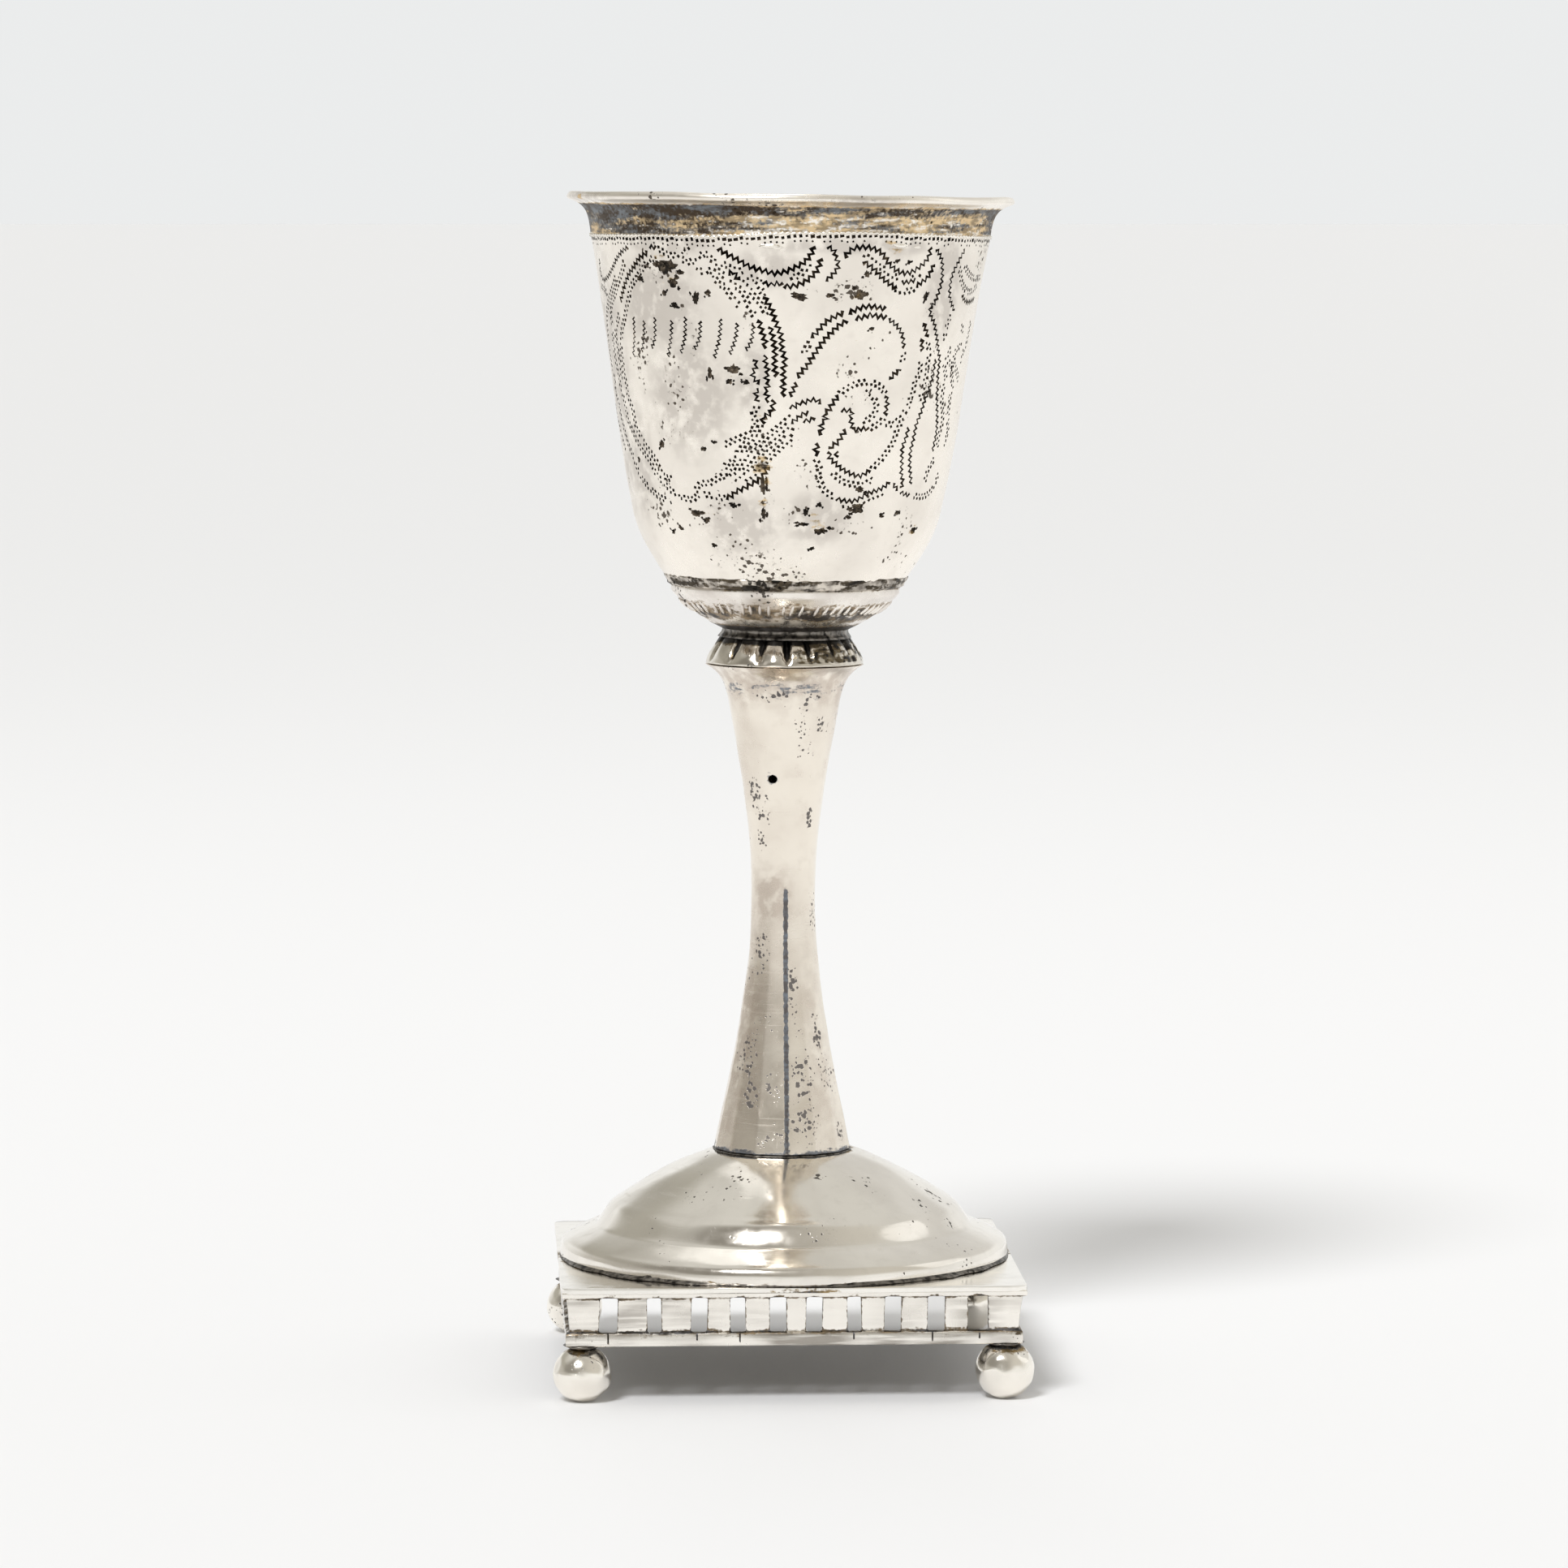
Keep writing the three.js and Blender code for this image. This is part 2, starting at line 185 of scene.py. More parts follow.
studio_floor = finished(turn([(0, 0), (300, 0), (3000, 0), (floor_radius, 0)], 96), "studio_floor")
studio_floor.data.flip_normals()
paper, w, shader = new_finish("floor_paper_painted_falloff")
reach = w.node("ShaderNodeVectorMath", operation="LENGTH")
w.feed(reach.inputs[0], w.node("ShaderNodeTexCoord").outputs["Object"])
# Painted shade: the paper's colour goes from the near tone to the greyer far tone with distance from
# the cup, for the light falling off.
paper_tone_and_painted_falloff = w.mix(w.remap(reach.outputs["Value"], 0.15, 1.4), paper_near, paper_far_painted_shade)
w.feed(shader["Base Color"], paper_tone_and_painted_falloff)
shader["Roughness"].default_value = 0.9
shader["Specular IOR Level"].default_value = 0.1
studio_floor.data.materials.append(paper)

far_screen = finished(turn([(floor_radius, -50.0), (floor_radius, screen_height)], 96), "far_screen")
for kind in ("glossy", "diffuse", "shadow", "transmission", "volume_scatter"):
    setattr(far_screen, "visible_" + kind, False)
lit_paper, _, shader = new_finish("screen_paper")
shader["Base Color"].default_value = (0, 0, 0, 1)
shader["Specular IOR Level"].default_value = 0.0
shader["Emission Color"].default_value = screen_tone
shader["Emission Strength"].default_value = 1.0
far_screen.data.materials.append(lit_paper)


# Studio light. A room that is pale behind the cup and overhead, and darker in front, more so at
# the left. A soft key light stands high at the front left, with weak boxes right and overhead.

room_horizon = (0.90, 0.90, 0.885, 1)
room_left = (0.27, 0.255, 0.225, 1)
room_right = (0.60, 0.575, 0.52, 1)
room_overhead = (0.66, 0.65, 0.615, 1)
room_upper_left = (0.42, 0.405, 0.36, 1)
room_upper_right = (0.70, 0.69, 0.665, 1)
room_low_left = (0.50, 0.48, 0.44, 1)
key_strength = 2.03
key_spread = math.radians(17)

world = bpy.data.worlds.new("studio_sky")
world.use_nodes = True
w = Wiring(world.node_tree)
direction = w.node("ShaderNodeSeparateXYZ")
w.feed(direction.inputs[0], w.node("ShaderNodeTexCoord").outputs["Generated"])
across, ahead, above = direction.outputs
sides = w.mix(w.remap(across, -0.55, 0.65), room_left, room_right)
low = w.mix(w.remap(across, -0.98, -0.40), room_low_left, room_horizon)
front = w.mix(w.remap(above, 0.07, 0.30), low, sides)
upper = w.mix(w.remap(across, -0.36, 0.16), room_upper_left, room_upper_right)
back = w.mix(w.remap(above, 0.24, 0.42), low, upper)
back = w.mix(w.remap(above, 0.60, 0.80), back, room_overhead)
room = w.mix(w.remap(ahead, -0.32, 0.15), front, back)
w.feed(world.node_tree.nodes["Background"].inputs["Color"], room)
bpy.context.scene.world = world


def place_lamp(lamp, place, target):
    holder = bpy.data.objects.new(lamp.name, lamp)
    holder.location = place
    holder.rotation_euler = (Vector(target) - Vector(place)).to_track_quat("-Z", "Y").to_euler()
    bpy.context.scene.collection.objects.link(holder)


def soft_box(name, place, width, height, power):
    lamp = bpy.data.lights.new(name, "AREA")
    lamp.shape = "RECTANGLE"
    lamp.size = width
    lamp.size_y = height
    lamp.energy = power
    place_lamp(lamp, place, (0.0, 0.0, 0.08))


key_light = bpy.data.lights.new("key_light", "SUN")
key_light.energy = key_strength
key_light.angle = key_spread
place_lamp(key_light, (-0.48, -0.94, 1.24), (0.0, 0.0, 0.08))
soft_box("fill_box", (1.3, 0.1, 0.8), 0.7, 0.8, 0.50)
soft_box("overhead_box", (-0.02, 0.45, 1.3), 0.12, 1.0, 1.1)
soft_box("glow_box", (-0.16, 0.85, 1.15), 0.22, 0.50, 0.13)


# Ball feet. Cast silver balls, hammered a little flat on all sides and worn flat below, each
# soldered under a corner of the gallery with a lump of solder that has gone black.

def new_group(name, inputs, outputs):
    """An empty shader group. Inputs are given with their defaults, outputs with their kinds."""
    group = bpy.data.node_groups.new(name, "ShaderNodeTree")
    for label, default in inputs.items():
        kind = "NodeSocketFloat" if isinstance(default, float) else "NodeSocketColor"
        socket = group.interface.new_socket(name=label, in_out="INPUT", socket_type=kind)
        socket.default_value = default
    for label, kind in outputs.items():
        group.interface.new_socket(name=label, in_out="OUTPUT", socket_type=kind)
    return group


worn_silver = new_group(
    "worn_silver",
    {
        "Bright": (0.95, 0.905, 0.84, 1), "Clouded": (0.80, 0.75, 0.70, 1),
        "Tarnished": (0.05, 0.045, 0.04, 1), "Golden": (0.35, 0.25, 0.12, 1),
        "Blued": (0.16, 0.17, 0.19, 1), "Tarnish": 0.0, "Haze": 0.0, "Pitting": 0.0,
        "Cloud Scale": 110.0, "Cloudiness": 0.5, "Pit Scale": 1500.0, "Pits": 0.5,
        "Scratches": 0.5, "Polish": 0.2, "Brushing": 0.0,
    },
    {"Color": "NodeSocketColor", "Roughness": "NodeSocketFloat", "Height": "NodeSocketFloat"},
)
w = Wiring(worn_silver)
given = w.node("NodeGroupInput").outputs
coords = w.node("ShaderNodeTexCoord").outputs["Object"]
clouds = w.remap(w.grain(coords, given["Cloud Scale"], 3.0), 0.36, 0.70)
mottle = w.grain(coords, 620.0, 4.0)
fine = w.grain(coords, 2100.0, 3.0)
streaks = w.grain(coords, 420.0, 4.0, stretch=(1.0, 1.0, 4.5))
lines = w.grain(coords, 900.0, 2.0, stretch=(0.16, 0.16, 3.0))
cross_lines = w.grain(coords, 900.0, 2.0, stretch=(3.0, 2.2, 0.12))
brushed = w.grain(coords, 520.0, 4.0, stretch=(0.22, 0.22, 3.4))
# The clean skin, from bright to clouded.
film = w.plus(mottle, w.times(w.less(brushed, mottle), given["Brushing"]))
haze = w.times(given["Haze"], w.remap(film, 0.28, 0.62))
dull = w.plus(w.times(clouds, given["Cloudiness"]), haze, clamp=True)
skin = w.mix(dull, given["Bright"], given["Clouded"])
freckle = w.times(w.remap(mottle, 0.5, 0.78), given["Cloudiness"])
skin = w.mix(w.times(freckle, 0.45), skin, given["Clouded"])
# Tarnish in ragged streaks: golden where it is thin, then blue-grey, then black.
breakup = w.plus(w.sway(streaks, 1.2), w.sway(fine, 0.7))
stain = w.remap(w.plus(given["Tarnish"], breakup), 0.40, 0.68)
blue = w.plus(w.grain(coords, 300.0, 6.0, stretch=(0.8, 0.8, 2.6)), w.sway(fine, 0.6))
stain_tone = w.mix(w.remap(blue, 0.40, 0.64), given["Tarnished"], given["Blued"])
gold = w.grain(coords, 240.0, 7.0, stretch=(0.6, 0.6, 3.2))
gold = w.less(gold, w.times(w.less(given["Tarnish"], 0.75), 1.1))
gold = w.plus(w.plus(gold, w.sway(brushed, 0.5)), w.sway(fine, 0.6))
stain_tone = w.mix(w.remap(gold, 0.42, 0.64), stain_tone, given["Golden"])
grime = w.remap(w.grain(coords, 1100.0, 5.0, stretch=(0.6, 0.6, 1.6)), 0.42, 0.62)
stain_tone = w.mix(w.times(grime, 0.55), stain_tone, given["Tarnished"])
skin = w.mix(stain, skin, stain_tone)
# Pits in loose patches and where a piece is painted with them, and specks between them.
cells = w.node("ShaderNodeTexVoronoi")
w.feed(cells.inputs["Vector"], coords)
w.feed(cells.inputs["Scale"], given["Pit Scale"])
patches = w.times(w.remap(w.grain(coords, 150.0, 2.0), 0.52, 0.74), given["Pits"])
patches = w.plus(patches, w.times(given["Pitting"], w.remap(mottle, 0.35, 0.6)), clamp=True)
reach = w.plus(w.times(patches, 0.52), w.sway(fine, 0.8))
pit = w.remap(w.less(reach, cells.outputs["Distance"]), -0.02, 0.05)
pit = w.times(pit, w.remap(patches, 0.05, 0.3))
flecks = w.times(w.remap(fine, 0.60, 0.66), w.remap(patches, 0.25, 0.8))
pit = w.maths("MAXIMUM", pit, flecks)
skin = w.mix(w.times(pit, 0.9), skin, given["Tarnished"])
scratch = w.plus(w.remap(lines, 0.60, 0.72), w.remap(cross_lines, 0.66, 0.76))
scratch = w.times(scratch, given["Scratches"])
rough = w.plus(given["Polish"], w.times(clouds, 0.08))
rough = w.plus(rough, w.sway(mottle, 0.25))
rough = w.plus(rough, w.times(stain, 0.22))
rough = w.plus(rough, w.times(scratch, 0.10))
rough = w.plus(rough, w.times(pit, 0.35), clamp=True)
height = w.less(w.times(mottle, 0.35), pit)
height = w.less(height, w.times(scratch, 0.12))
height = w.less(height, w.times(stain, 0.2))
made = w.node("NodeGroupOutput")
w.feed(made.inputs["Color"], skin)
w.feed(made.inputs["Roughness"], rough)
w.feed(made.inputs["Height"], height)


def silver(name, bump=0.25, **values):
    """A silver finish. Words of the group's inputs are given with _ for a space. A piece's own
    tarnish, haze and pitting attributes say where the metal is dark, dull or pitted."""
    finish, wires, shader = new_finish(name)
    worn = wires.node("ShaderNodeGroup", node_tree=worn_silver)
    for label, value in values.items():
        worn.inputs[label.replace("_", " ").title()].default_value = value
    for label in ("Tarnish", "Haze", "Pitting"):
        painted = wires.node("ShaderNodeAttribute", attribute_name=label.lower())
        wires.feed(worn.inputs[label], painted.outputs["Fac"])
    relief = wires.node("ShaderNodeBump")
    relief.inputs["Strength"].default_value = bump
    relief.inputs["Distance"].default_value = 0.06 * mm
    wires.feed(relief.inputs["Height"], worn.outputs["Height"])
    shader["Metallic"].default_value = 1.0
    wires.feed(shader["Base Color"], worn.outputs["Color"])
    wires.feed(shader["Roughness"], worn.outputs["Roughness"])
    wires.feed(shader["Normal"], relief.outputs["Normal"])
    return finish


def paint(piece, layer, amount):
    """Writes an attribute of a piece: amount(point in millimetres) for each corner of the mesh."""
    mesh = piece.data
    layer = mesh.attributes.get(layer) or mesh.attributes.new(layer, "FLOAT", "POINT")
    layer.data.foreach_set("value", [amount(v.co / mm) for v in mesh.vertices])


def fit(piece, finish, slot, *nodes):
    """Gives a piece its finish and its place among the part's nodes."""
    if finish.name not in piece.data.materials:
        piece.data.materials.clear()
        piece.data.materials.append(finish)
    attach(piece, "root")
    if nodes:
        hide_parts(*nodes)


cast_silver = silver(
    "cast_silver", bright=(0.99, 0.95, 0.875, 1), clouded=(0.84, 0.79, 0.72, 1), cloudiness=0.4,
    cloud_scale=260.0, polish=0.13, pits=0.5, scratches=0.7, bump=0.5,
)

solder_black = silver(
    "solder_black",
    bright=(0.24, 0.22, 0.195, 1), clouded=(0.02, 0.018, 0.016, 1),
    tarnished=(0.03, 0.028, 0.025, 1), cloud_scale=1100.0, cloudiness=1.0,
    polish=0.30, pits=0.8, bump=0.8,
)


def lumpy(point, size, depth, seed=0.0):
    """Uneven height, in millimetres, of metal that was hammered or has run."""
    return depth * noise.noise(Vector(point) / size + Vector((seed, 2 * seed, -seed)))


def push_out(point, amount):
    """Moves a point away from the upright axis by an amount in millimetres."""
    scale = 1 + amount / math.hypot(point.x, point.y)
    point.x *= scale
    point.y *= scale


ball_radius = 3.72
ball_flats = 18
ball_wear = 0.12
gallery_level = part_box("gallery_front")[0].z / mm


def hammered_ball(seed, squash):
    """A ball about the origin, beaten into flats and squashed upright by a factor."""
    dice = random.Random(seed)
    flats = []
    while len(flats) < ball_flats:
        facing = Vector([dice.uniform(-1, 1) for _ in range(3)])
        if 0.2 < facing.length < 1.0:
            flats.append((facing.normalized(), dice.uniform(0.945, 0.985)))
    bm = bmesh.new()
    bmesh.ops.create_icosphere(bm, subdivisions=5, radius=1.0)
    for v in bm.verts:
        away = v.co.normalized()
        reach = min([1.0] + [
            depth / away.dot(facing) for facing, depth in flats if away.dot(facing) > 0.5
        ])
        v.co = away * (ball_radius * reach + lumpy(away * 4, 1.3, 0.06, seed))
        v.co.z *= squash
    for _ in range(2):
        bmesh.ops.smooth_vert(
            bm, verts=bm.verts[:], factor=0.5, use_axis_x=True, use_axis_y=True, use_axis_z=True,
        )
    return bm


def solder_ring(inner, outer, foot, head, steps, seed, wobble=0.12):
    """A fillet of solder round a joint: wide at its foot, thin at its head, uneven all round."""
    section = [
        (inner, foot), (0.5 * (inner + outer), foot), (outer, foot + 0.04),
        (0.35 * inner + 0.65 * outer, foot + 0.28 * (head - foot)),
        (0.75 * inner + 0.25 * outer, foot + 0.6 * (head - foot)), (inner, head), (inner, foot),
    ]
    bm = turn(section, steps)
    for v in bm.verts:
        if math.hypot(v.co.x, v.co.y) > inner + 0.02:
            push_out(v.co, lumpy(v.co, 1.1, wobble, seed) + lumpy(v.co, 4.0, wobble, seed + 3))
    return bm


ball_seed = {"front_left": 3, "front_right": 8, "back_right": 12, "back_left": 21}
ball_squash = {"front_left": 0.955, "front_right": 1.0, "back_right": 0.98, "back_left": 0.97}
for corner, seed in ball_seed.items():
    low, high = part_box("foot_ball_" + corner)
    middle = (low + high) / 2
    bm = hammered_ball(seed, ball_squash[corner])
    rise = ball_radius * ball_squash[corner] - ball_wear
    for v in bm.verts:
        v.co.z = max(v.co.z, -rise)
    ball = finished(bm, "ball_" + corner, Matrix.Translation((middle.x, middle.y, rise * mm)))
    # Painted shade: the tarnish attribute darkens the upper half of each ball, most at the top, for the
    # darker room that the ball reflects there.
    paint(ball, "tarnish", lambda p: max(0.0, (p.z - 5.6) / 1.6) + (0.12 if p.z > 4.0 else 0.0))
    fit(ball, cast_silver, "cast_silver", "foot_ball_" + corner)
    neck = solder_ring(0.6, 2.5, 0.0, 1.35, 40, seed)
    bmesh.ops.scale(neck, vec=(1, 1, -1), verts=neck.verts[:])
    bmesh.ops.recalc_face_normals(neck, faces=neck.faces[:])
    under_gallery = Matrix.Translation((middle.x, middle.y, gallery_level * mm))
    neck = finished(neck, "ball_solder_" + corner, under_gallery)
    fit(neck, solder_black, "cast_silver")


# Gallery. Moulded wire with a rail above and below a hollowed band, sawn and filed through in
# ten slots a side by eye, mitred and soldered at the corners. The saw ran into the lower rail.

base_half = -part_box("gallery_front")[0].y / mm
gallery_height = 6.7
gallery_thickness = 1.9
lower_rail = 1.6
upper_rail = 0.7
slot_pitch = 5.12
slot_width = 2.05
slot_drift = [-0.2, 0.4, 0.9, 0.6, 0.5, -0.1, -0.2, -0.5, -0.2, -0.1]
slot_spread = [0.25, -0.25, 0, -0.15, 0.05, 0, -0.3, 0.05, 0.15, 0.5]
slot_corner = 0.36
nicked_slots = (0, 2, 3, 6, 8, 9)
nick_width = 0.16
gallery_edge = 0.09


def raised(height):
    """A place at a height in millimetres."""
    return Matrix.Translation((0, 0, height * mm))


def turned(degrees, axis):
    """A turn about one of the axes through the origin."""
    return Matrix.Rotation(math.radians(degrees), 4, axis)


def carve(piece, cutter):
    """Cuts the cutter out of a piece, with the cutter's own finish on the cut."""
    cut = piece.modifiers.new("cut", "BOOLEAN")
    cut.operation = "DIFFERENCE"
    cut.solver = "MANIFOLD"
    cut.object = cutter
    bake(piece)
    bpy.data.objects.remove(cutter)


def bake(piece):
    """Makes what the modifiers of a piece show its mesh."""
    seen = piece.evaluated_get(bpy.context.evaluated_depsgraph_get())
    mesh = bpy.data.meshes.new_from_object(seen)
    piece.modifiers.clear()
    piece.data = mesh


def file_edges(piece, width, angle):
    """Takes the sharpness off all edges that bend more than an angle in degrees."""
    edge = piece.modifiers.new("filed_edges", "BEVEL")
    edge.width = width * mm
    edge.segments = 2
    edge.limit_method = "ANGLE"
    edge.angle_limit = math.radians(angle)
    bake(piece)


def shade(piece, angle):
    """Smooth shading, with crisp edges where faces meet at more than an angle in degrees."""
    piece.data.shade_smooth()
    piece.data.set_sharp_from_angle(angle=math.radians(angle))


def gallery_wire(stations):
    """The wire before sawing, along X with a section at each station, its outer face towards -Y."""
    band_head = gallery_height - upper_rail
    section = [
        (0.62, 0.0), (0.50, 0.12), (0.46, 0.7), (0.50, lower_rail - 0.2), (0.58, lower_rail),
        (0.98, lower_rail + 0.18), (0.94, lower_rail + 0.7), (0.84, 3.9), (0.62, band_head - 0.6),
        (0.56, band_head - 0.25), (0.52, band_head - 0.02), (0.06, band_head + 0.14),
        (0.0, band_head + 0.24), (0.0, gallery_height), (gallery_thickness, gallery_height),
        (gallery_thickness, 0.0),
    ]
    bm = bmesh.new()
    end = bm.faces.new([bm.verts.new((-base_half, depth - base_half, z)) for depth, z in section])
    for here, there in zip(stations, stations[1:]):
        grown = bmesh.ops.extrude_face_region(bm, geom=[end])
        if here > stations[0]:
            bmesh.ops.delete(bm, geom=[end], context="FACES_KEEP_BOUNDARY")
        end = [item for item in grown["geom"] if isinstance(item, bmesh.types.BMFace)][0]
        bmesh.ops.translate(bm, vec=(there - here, 0, 0), verts=end.verts[:])
    for sideways in (-1, 1):
        bmesh.ops.bisect_plane(
            bm, geom=bm.verts[:] + bm.edges[:] + bm.faces[:], dist=1e-4,
            plane_co=(0, -0.02, 0), plane_no=(sideways, 1, 0), clear_outer=True,
        )
        bmesh.ops.holes_fill(bm, edges=[e for e in bm.edges if e.is_boundary])
    bmesh.ops.recalc_face_normals(bm, faces=bm.faces[:])
    return bm


gallery_silver = silver(
    "gallery_silver", bright=(1.0, 0.965, 0.90, 1), clouded=(0.40, 0.37, 0.33, 1),
    cloudiness=0.08, cloud_scale=160.0,
    tarnished=(0.045, 0.04, 0.035, 1), golden=(0.22, 0.17, 0.11, 1), blued=(0.20, 0.20, 0.21, 1),
    polish=0.18, pits=0.35, scratches=1.3, bump=0.35, brushing=1.0,
)


def tarnish_by_rails(p, slots):
    """Dark where the band meets its rails and on the walls of the slots. The strip lies at X."""
    z = p.z
    if p.y > 1.2 - base_half:
        return 0.45
    upper = z - (gallery_height - upper_rail + 0.08)
    upper = max(0.0, 1 - (upper / 0.2 if upper > 0 else -upper / 0.45))
    lower = max(0.0, 1 - abs(z - lower_rail - 0.12) / 0.6)
    sawn = 0.0
    for middle, width, lean, nick in slots:
        if nick and abs(p.x - nick) < 0.11 and 0.3 < z < lower_rail + 0.05:
            sawn = 0.95  # the cut that the saw left in the lower rail
        off_middle = abs(p.x - middle - math.sin(lean) * (z - 0.5 * gallery_height))
        if off_middle < width / 2 + 0.11 and lower_rail - 0.1 < z < gallery_height - upper_rail + 0.3:
            sawn = max(sawn, 0.75)
    patchy = 0.22 * noise.noise(Vector((p.x / 5.0, 3.0, z)))
    return max(0.80 * upper + patchy, 0.86 * lower + patchy, sawn)


def film_on_bars(p):
    """How dull the band is here: most bars are streaked, those near the middle of a side less."""
    on_band = lower_rail < p.z < gallery_height - upper_rail + 0.1
    patchy = 0.5 + 0.9 * noise.noise(Vector((p.x / 4.2, 7.5, p.z / 3.0)))
    strength = min(1.0, 0.04 + abs(p.x - 3.0) / 28.0) if on_band else 1.3 if p.z < lower_rail else 0.1
    return max(0.0, patchy * strength)


for quarter, side in enumerate(("front", "right", "back", "left")):
    dice = random.Random(40 + quarter)
    slots = []
    stations = [base_half * (i / 12 - 1) for i in range(25)]
    for i in range(10):
        pick = (i + 3 * quarter) % 10
        middle = slot_pitch * (i - 4.5) + slot_drift[pick]
        width = slot_width + slot_spread[pick]
        nick = middle + dice.uniform(-0.7, 0.7) if pick in nicked_slots else None
        slots.append((middle, width, math.radians(dice.uniform(-1.6, 1.6)), nick))
        stations = [x for x in stations if abs(x - middle) > width / 2 + 0.5]
        for away in (width / 2 + 0.19, width / 2 + 0.4):
            stations += [middle - away, middle + away]
        stations += [(nick or middle) + aside for aside in (-0.24, -0.13, 0.13, 0.24)]
    strip = finished(gallery_wire(sorted(stations)), "gallery_wire_" + side)
    saw = bmesh.new()
    head = gallery_height - upper_rail + 0.15
    for middle, width, lean, nick in slots:
        slot = bmesh.ops.create_cube(saw, size=1.0)["verts"]
        bmesh.ops.scale(saw, vec=(width, 3 * gallery_thickness, head - lower_rail), verts=slot)
        bmesh.ops.rotate(saw, cent=(0, 0, 0), matrix=Matrix.Rotation(lean, 3, "Y"), verts=slot)
        bmesh.ops.translate(saw, vec=(middle, -base_half, (head + lower_rail) / 2), verts=slot)
        upright = {e for v in slot for e in v.link_edges}
        upright = [e for e in upright if abs((e.verts[0].co - e.verts[1].co).y) > 1]
        bmesh.ops.bevel(
            saw, geom=upright, offset=slot_corner, offset_type="OFFSET", segments=3, profile=0.5,
            affect="EDGES", material=-1,
        )
        if nick:
            kerf = bmesh.ops.create_cube(saw, size=1.0)["verts"]
            bmesh.ops.scale(saw, vec=(nick_width, 1.2, dice.uniform(0.6, 1.1)), verts=kerf)
            bmesh.ops.translate(saw, vec=(nick, 0.25 - base_half, lower_rail - 0.5), verts=kerf)
    saw = finished(saw, "saw_cuts")
    carve(strip, saw)
    file_edges(strip, gallery_edge, 38)
    paint(strip, "tarnish", lambda p: tarnish_by_rails(p, slots))
    paint(strip, "haze", film_on_bars)
    strip.data.transform(turned(90 * quarter, "Z") @ raised(gallery_level))
    for v in strip.data.vertices:
        p = v.co / mm
        inwards = Vector((p.x, p.y, 0)).normalized()
        uneven = 0.05 * noise.noise(p / 2.6) + 0.06 * noise.noise(p / 9.0) - 0.06
        v.co += inwards * uneven * mm
    shade(strip, 34)
    fit(strip, gallery_silver, "gallery_silver", "gallery_" + side)


# Base plate. A square of silver sheet soldered on the gallery, open under the dome, its edge
# filed flush and its corners rubbed round.

plate_low, plate_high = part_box("base_plate")
plate_low = plate_low / mm
plate_high = plate_high / mm
plate_hole = 24.25
plate_edge = 0.16
plate_corner_rub = 1.0

bm = bmesh.new()
bmesh.ops.create_grid(bm, x_segments=48, y_segments=48, size=plate_high.x)
sheet = bmesh.ops.extrude_face_region(bm, geom=bm.faces[:])
lifted = [item for item in sheet["geom"] if isinstance(item, bmesh.types.BMVert)]
bmesh.ops.translate(bm, vec=(0, 0, plate_high.z - plate_low.z), verts=lifted)
bmesh.ops.recalc_face_normals(bm, faces=bm.faces[:])
bmesh.ops.translate(bm, vec=(0, 0, plate_low.z), verts=bm.verts[:])
plate = finished(bm, "square_plate")
bm = bmesh.new()
bmesh.ops.create_cone(
    bm, cap_ends=True, segments=96, radius1=plate_hole, radius2=plate_hole, depth=4,
)
bmesh.ops.translate(bm, vec=(0, 0, plate_low.z), verts=bm.verts[:])
carve(plate, finished(bm, "plate_opening"))
file_edges(plate, plate_edge, 40)
for v in plate.data.vertices:
    p = v.co / mm
    dish = 0.07 * noise.noise(Vector((p.x, p.y, 0)) / 14.0) - 0.05
    v.co.z += dish * mm
    rub = max(0.0, abs(p.x) + abs(p.y) - 2 * base_half + plate_corner_rub)
    v.co.x -= math.copysign(0.35 * rub, p.x) * mm
    v.co.y -= math.copysign(0.35 * rub, p.y) * mm
shade(plate, 34)
plate_silver = silver(
    "plate_silver", bright=(0.99, 0.96, 0.90, 1), clouded=(0.82, 0.80, 0.76, 1),
    cloudiness=0.4, polish=0.13, pits=0.2, scratches=1.2, bump=0.35,
)


def tarnish_round_dome(p):
    """Dark under and beside the dome's foot, and a little dark below."""
    gap = math.hypot(p.x, p.y) - 28.9
    patchy = 0.25 * noise.noise(p / 5.0)
    return max(0.0, 0.58 + patchy - 0.55 * max(0.0, gap)) + (0.2 if p.z < plate_low.z + 0.1 else 0.0)


paint(plate, "tarnish", tarnish_round_dome)
fit(plate, plate_silver, "plate_silver", "base_plate")


# Dome. Raised from one sheet: an upright foot, a low ring, a steep band and a swelling crown.
# It is polished, with old hammer marks under the polish and small pits at the right.

dome_low, dome_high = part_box("foot_dome")
dome_level = dome_low.z / mm
dome_foot_radius = 28.75
dome_crown_height = dome_high.z / mm - dome_level
dome_crown_radius = 9.15
dome_wall = 0.9


def bezier(start, start_handle, end_handle, end, count):
    """Points along one curve in the (radius, height) plane."""
    corners = [Vector((p[0], p[1], 0)) for p in (start, start_handle, end_handle, end)]
    return [(p.x, p.y) for p in interpolate_bezier(*corners, count)]


def inside_of(line, distance):
    """The line that runs a wall's thickness inside another, both read from bottom to top."""
    inner = []
    for i, (radius, height) in enumerate(line):
        before = line[max(i - 1, 0)]
        after = line[min(i + 1, len(line) - 1)]
        along = Vector((after[0] - before[0], after[1] - before[1])).normalized()
        inner.append((radius - along.y * distance, height + along.x * distance))
    return inner


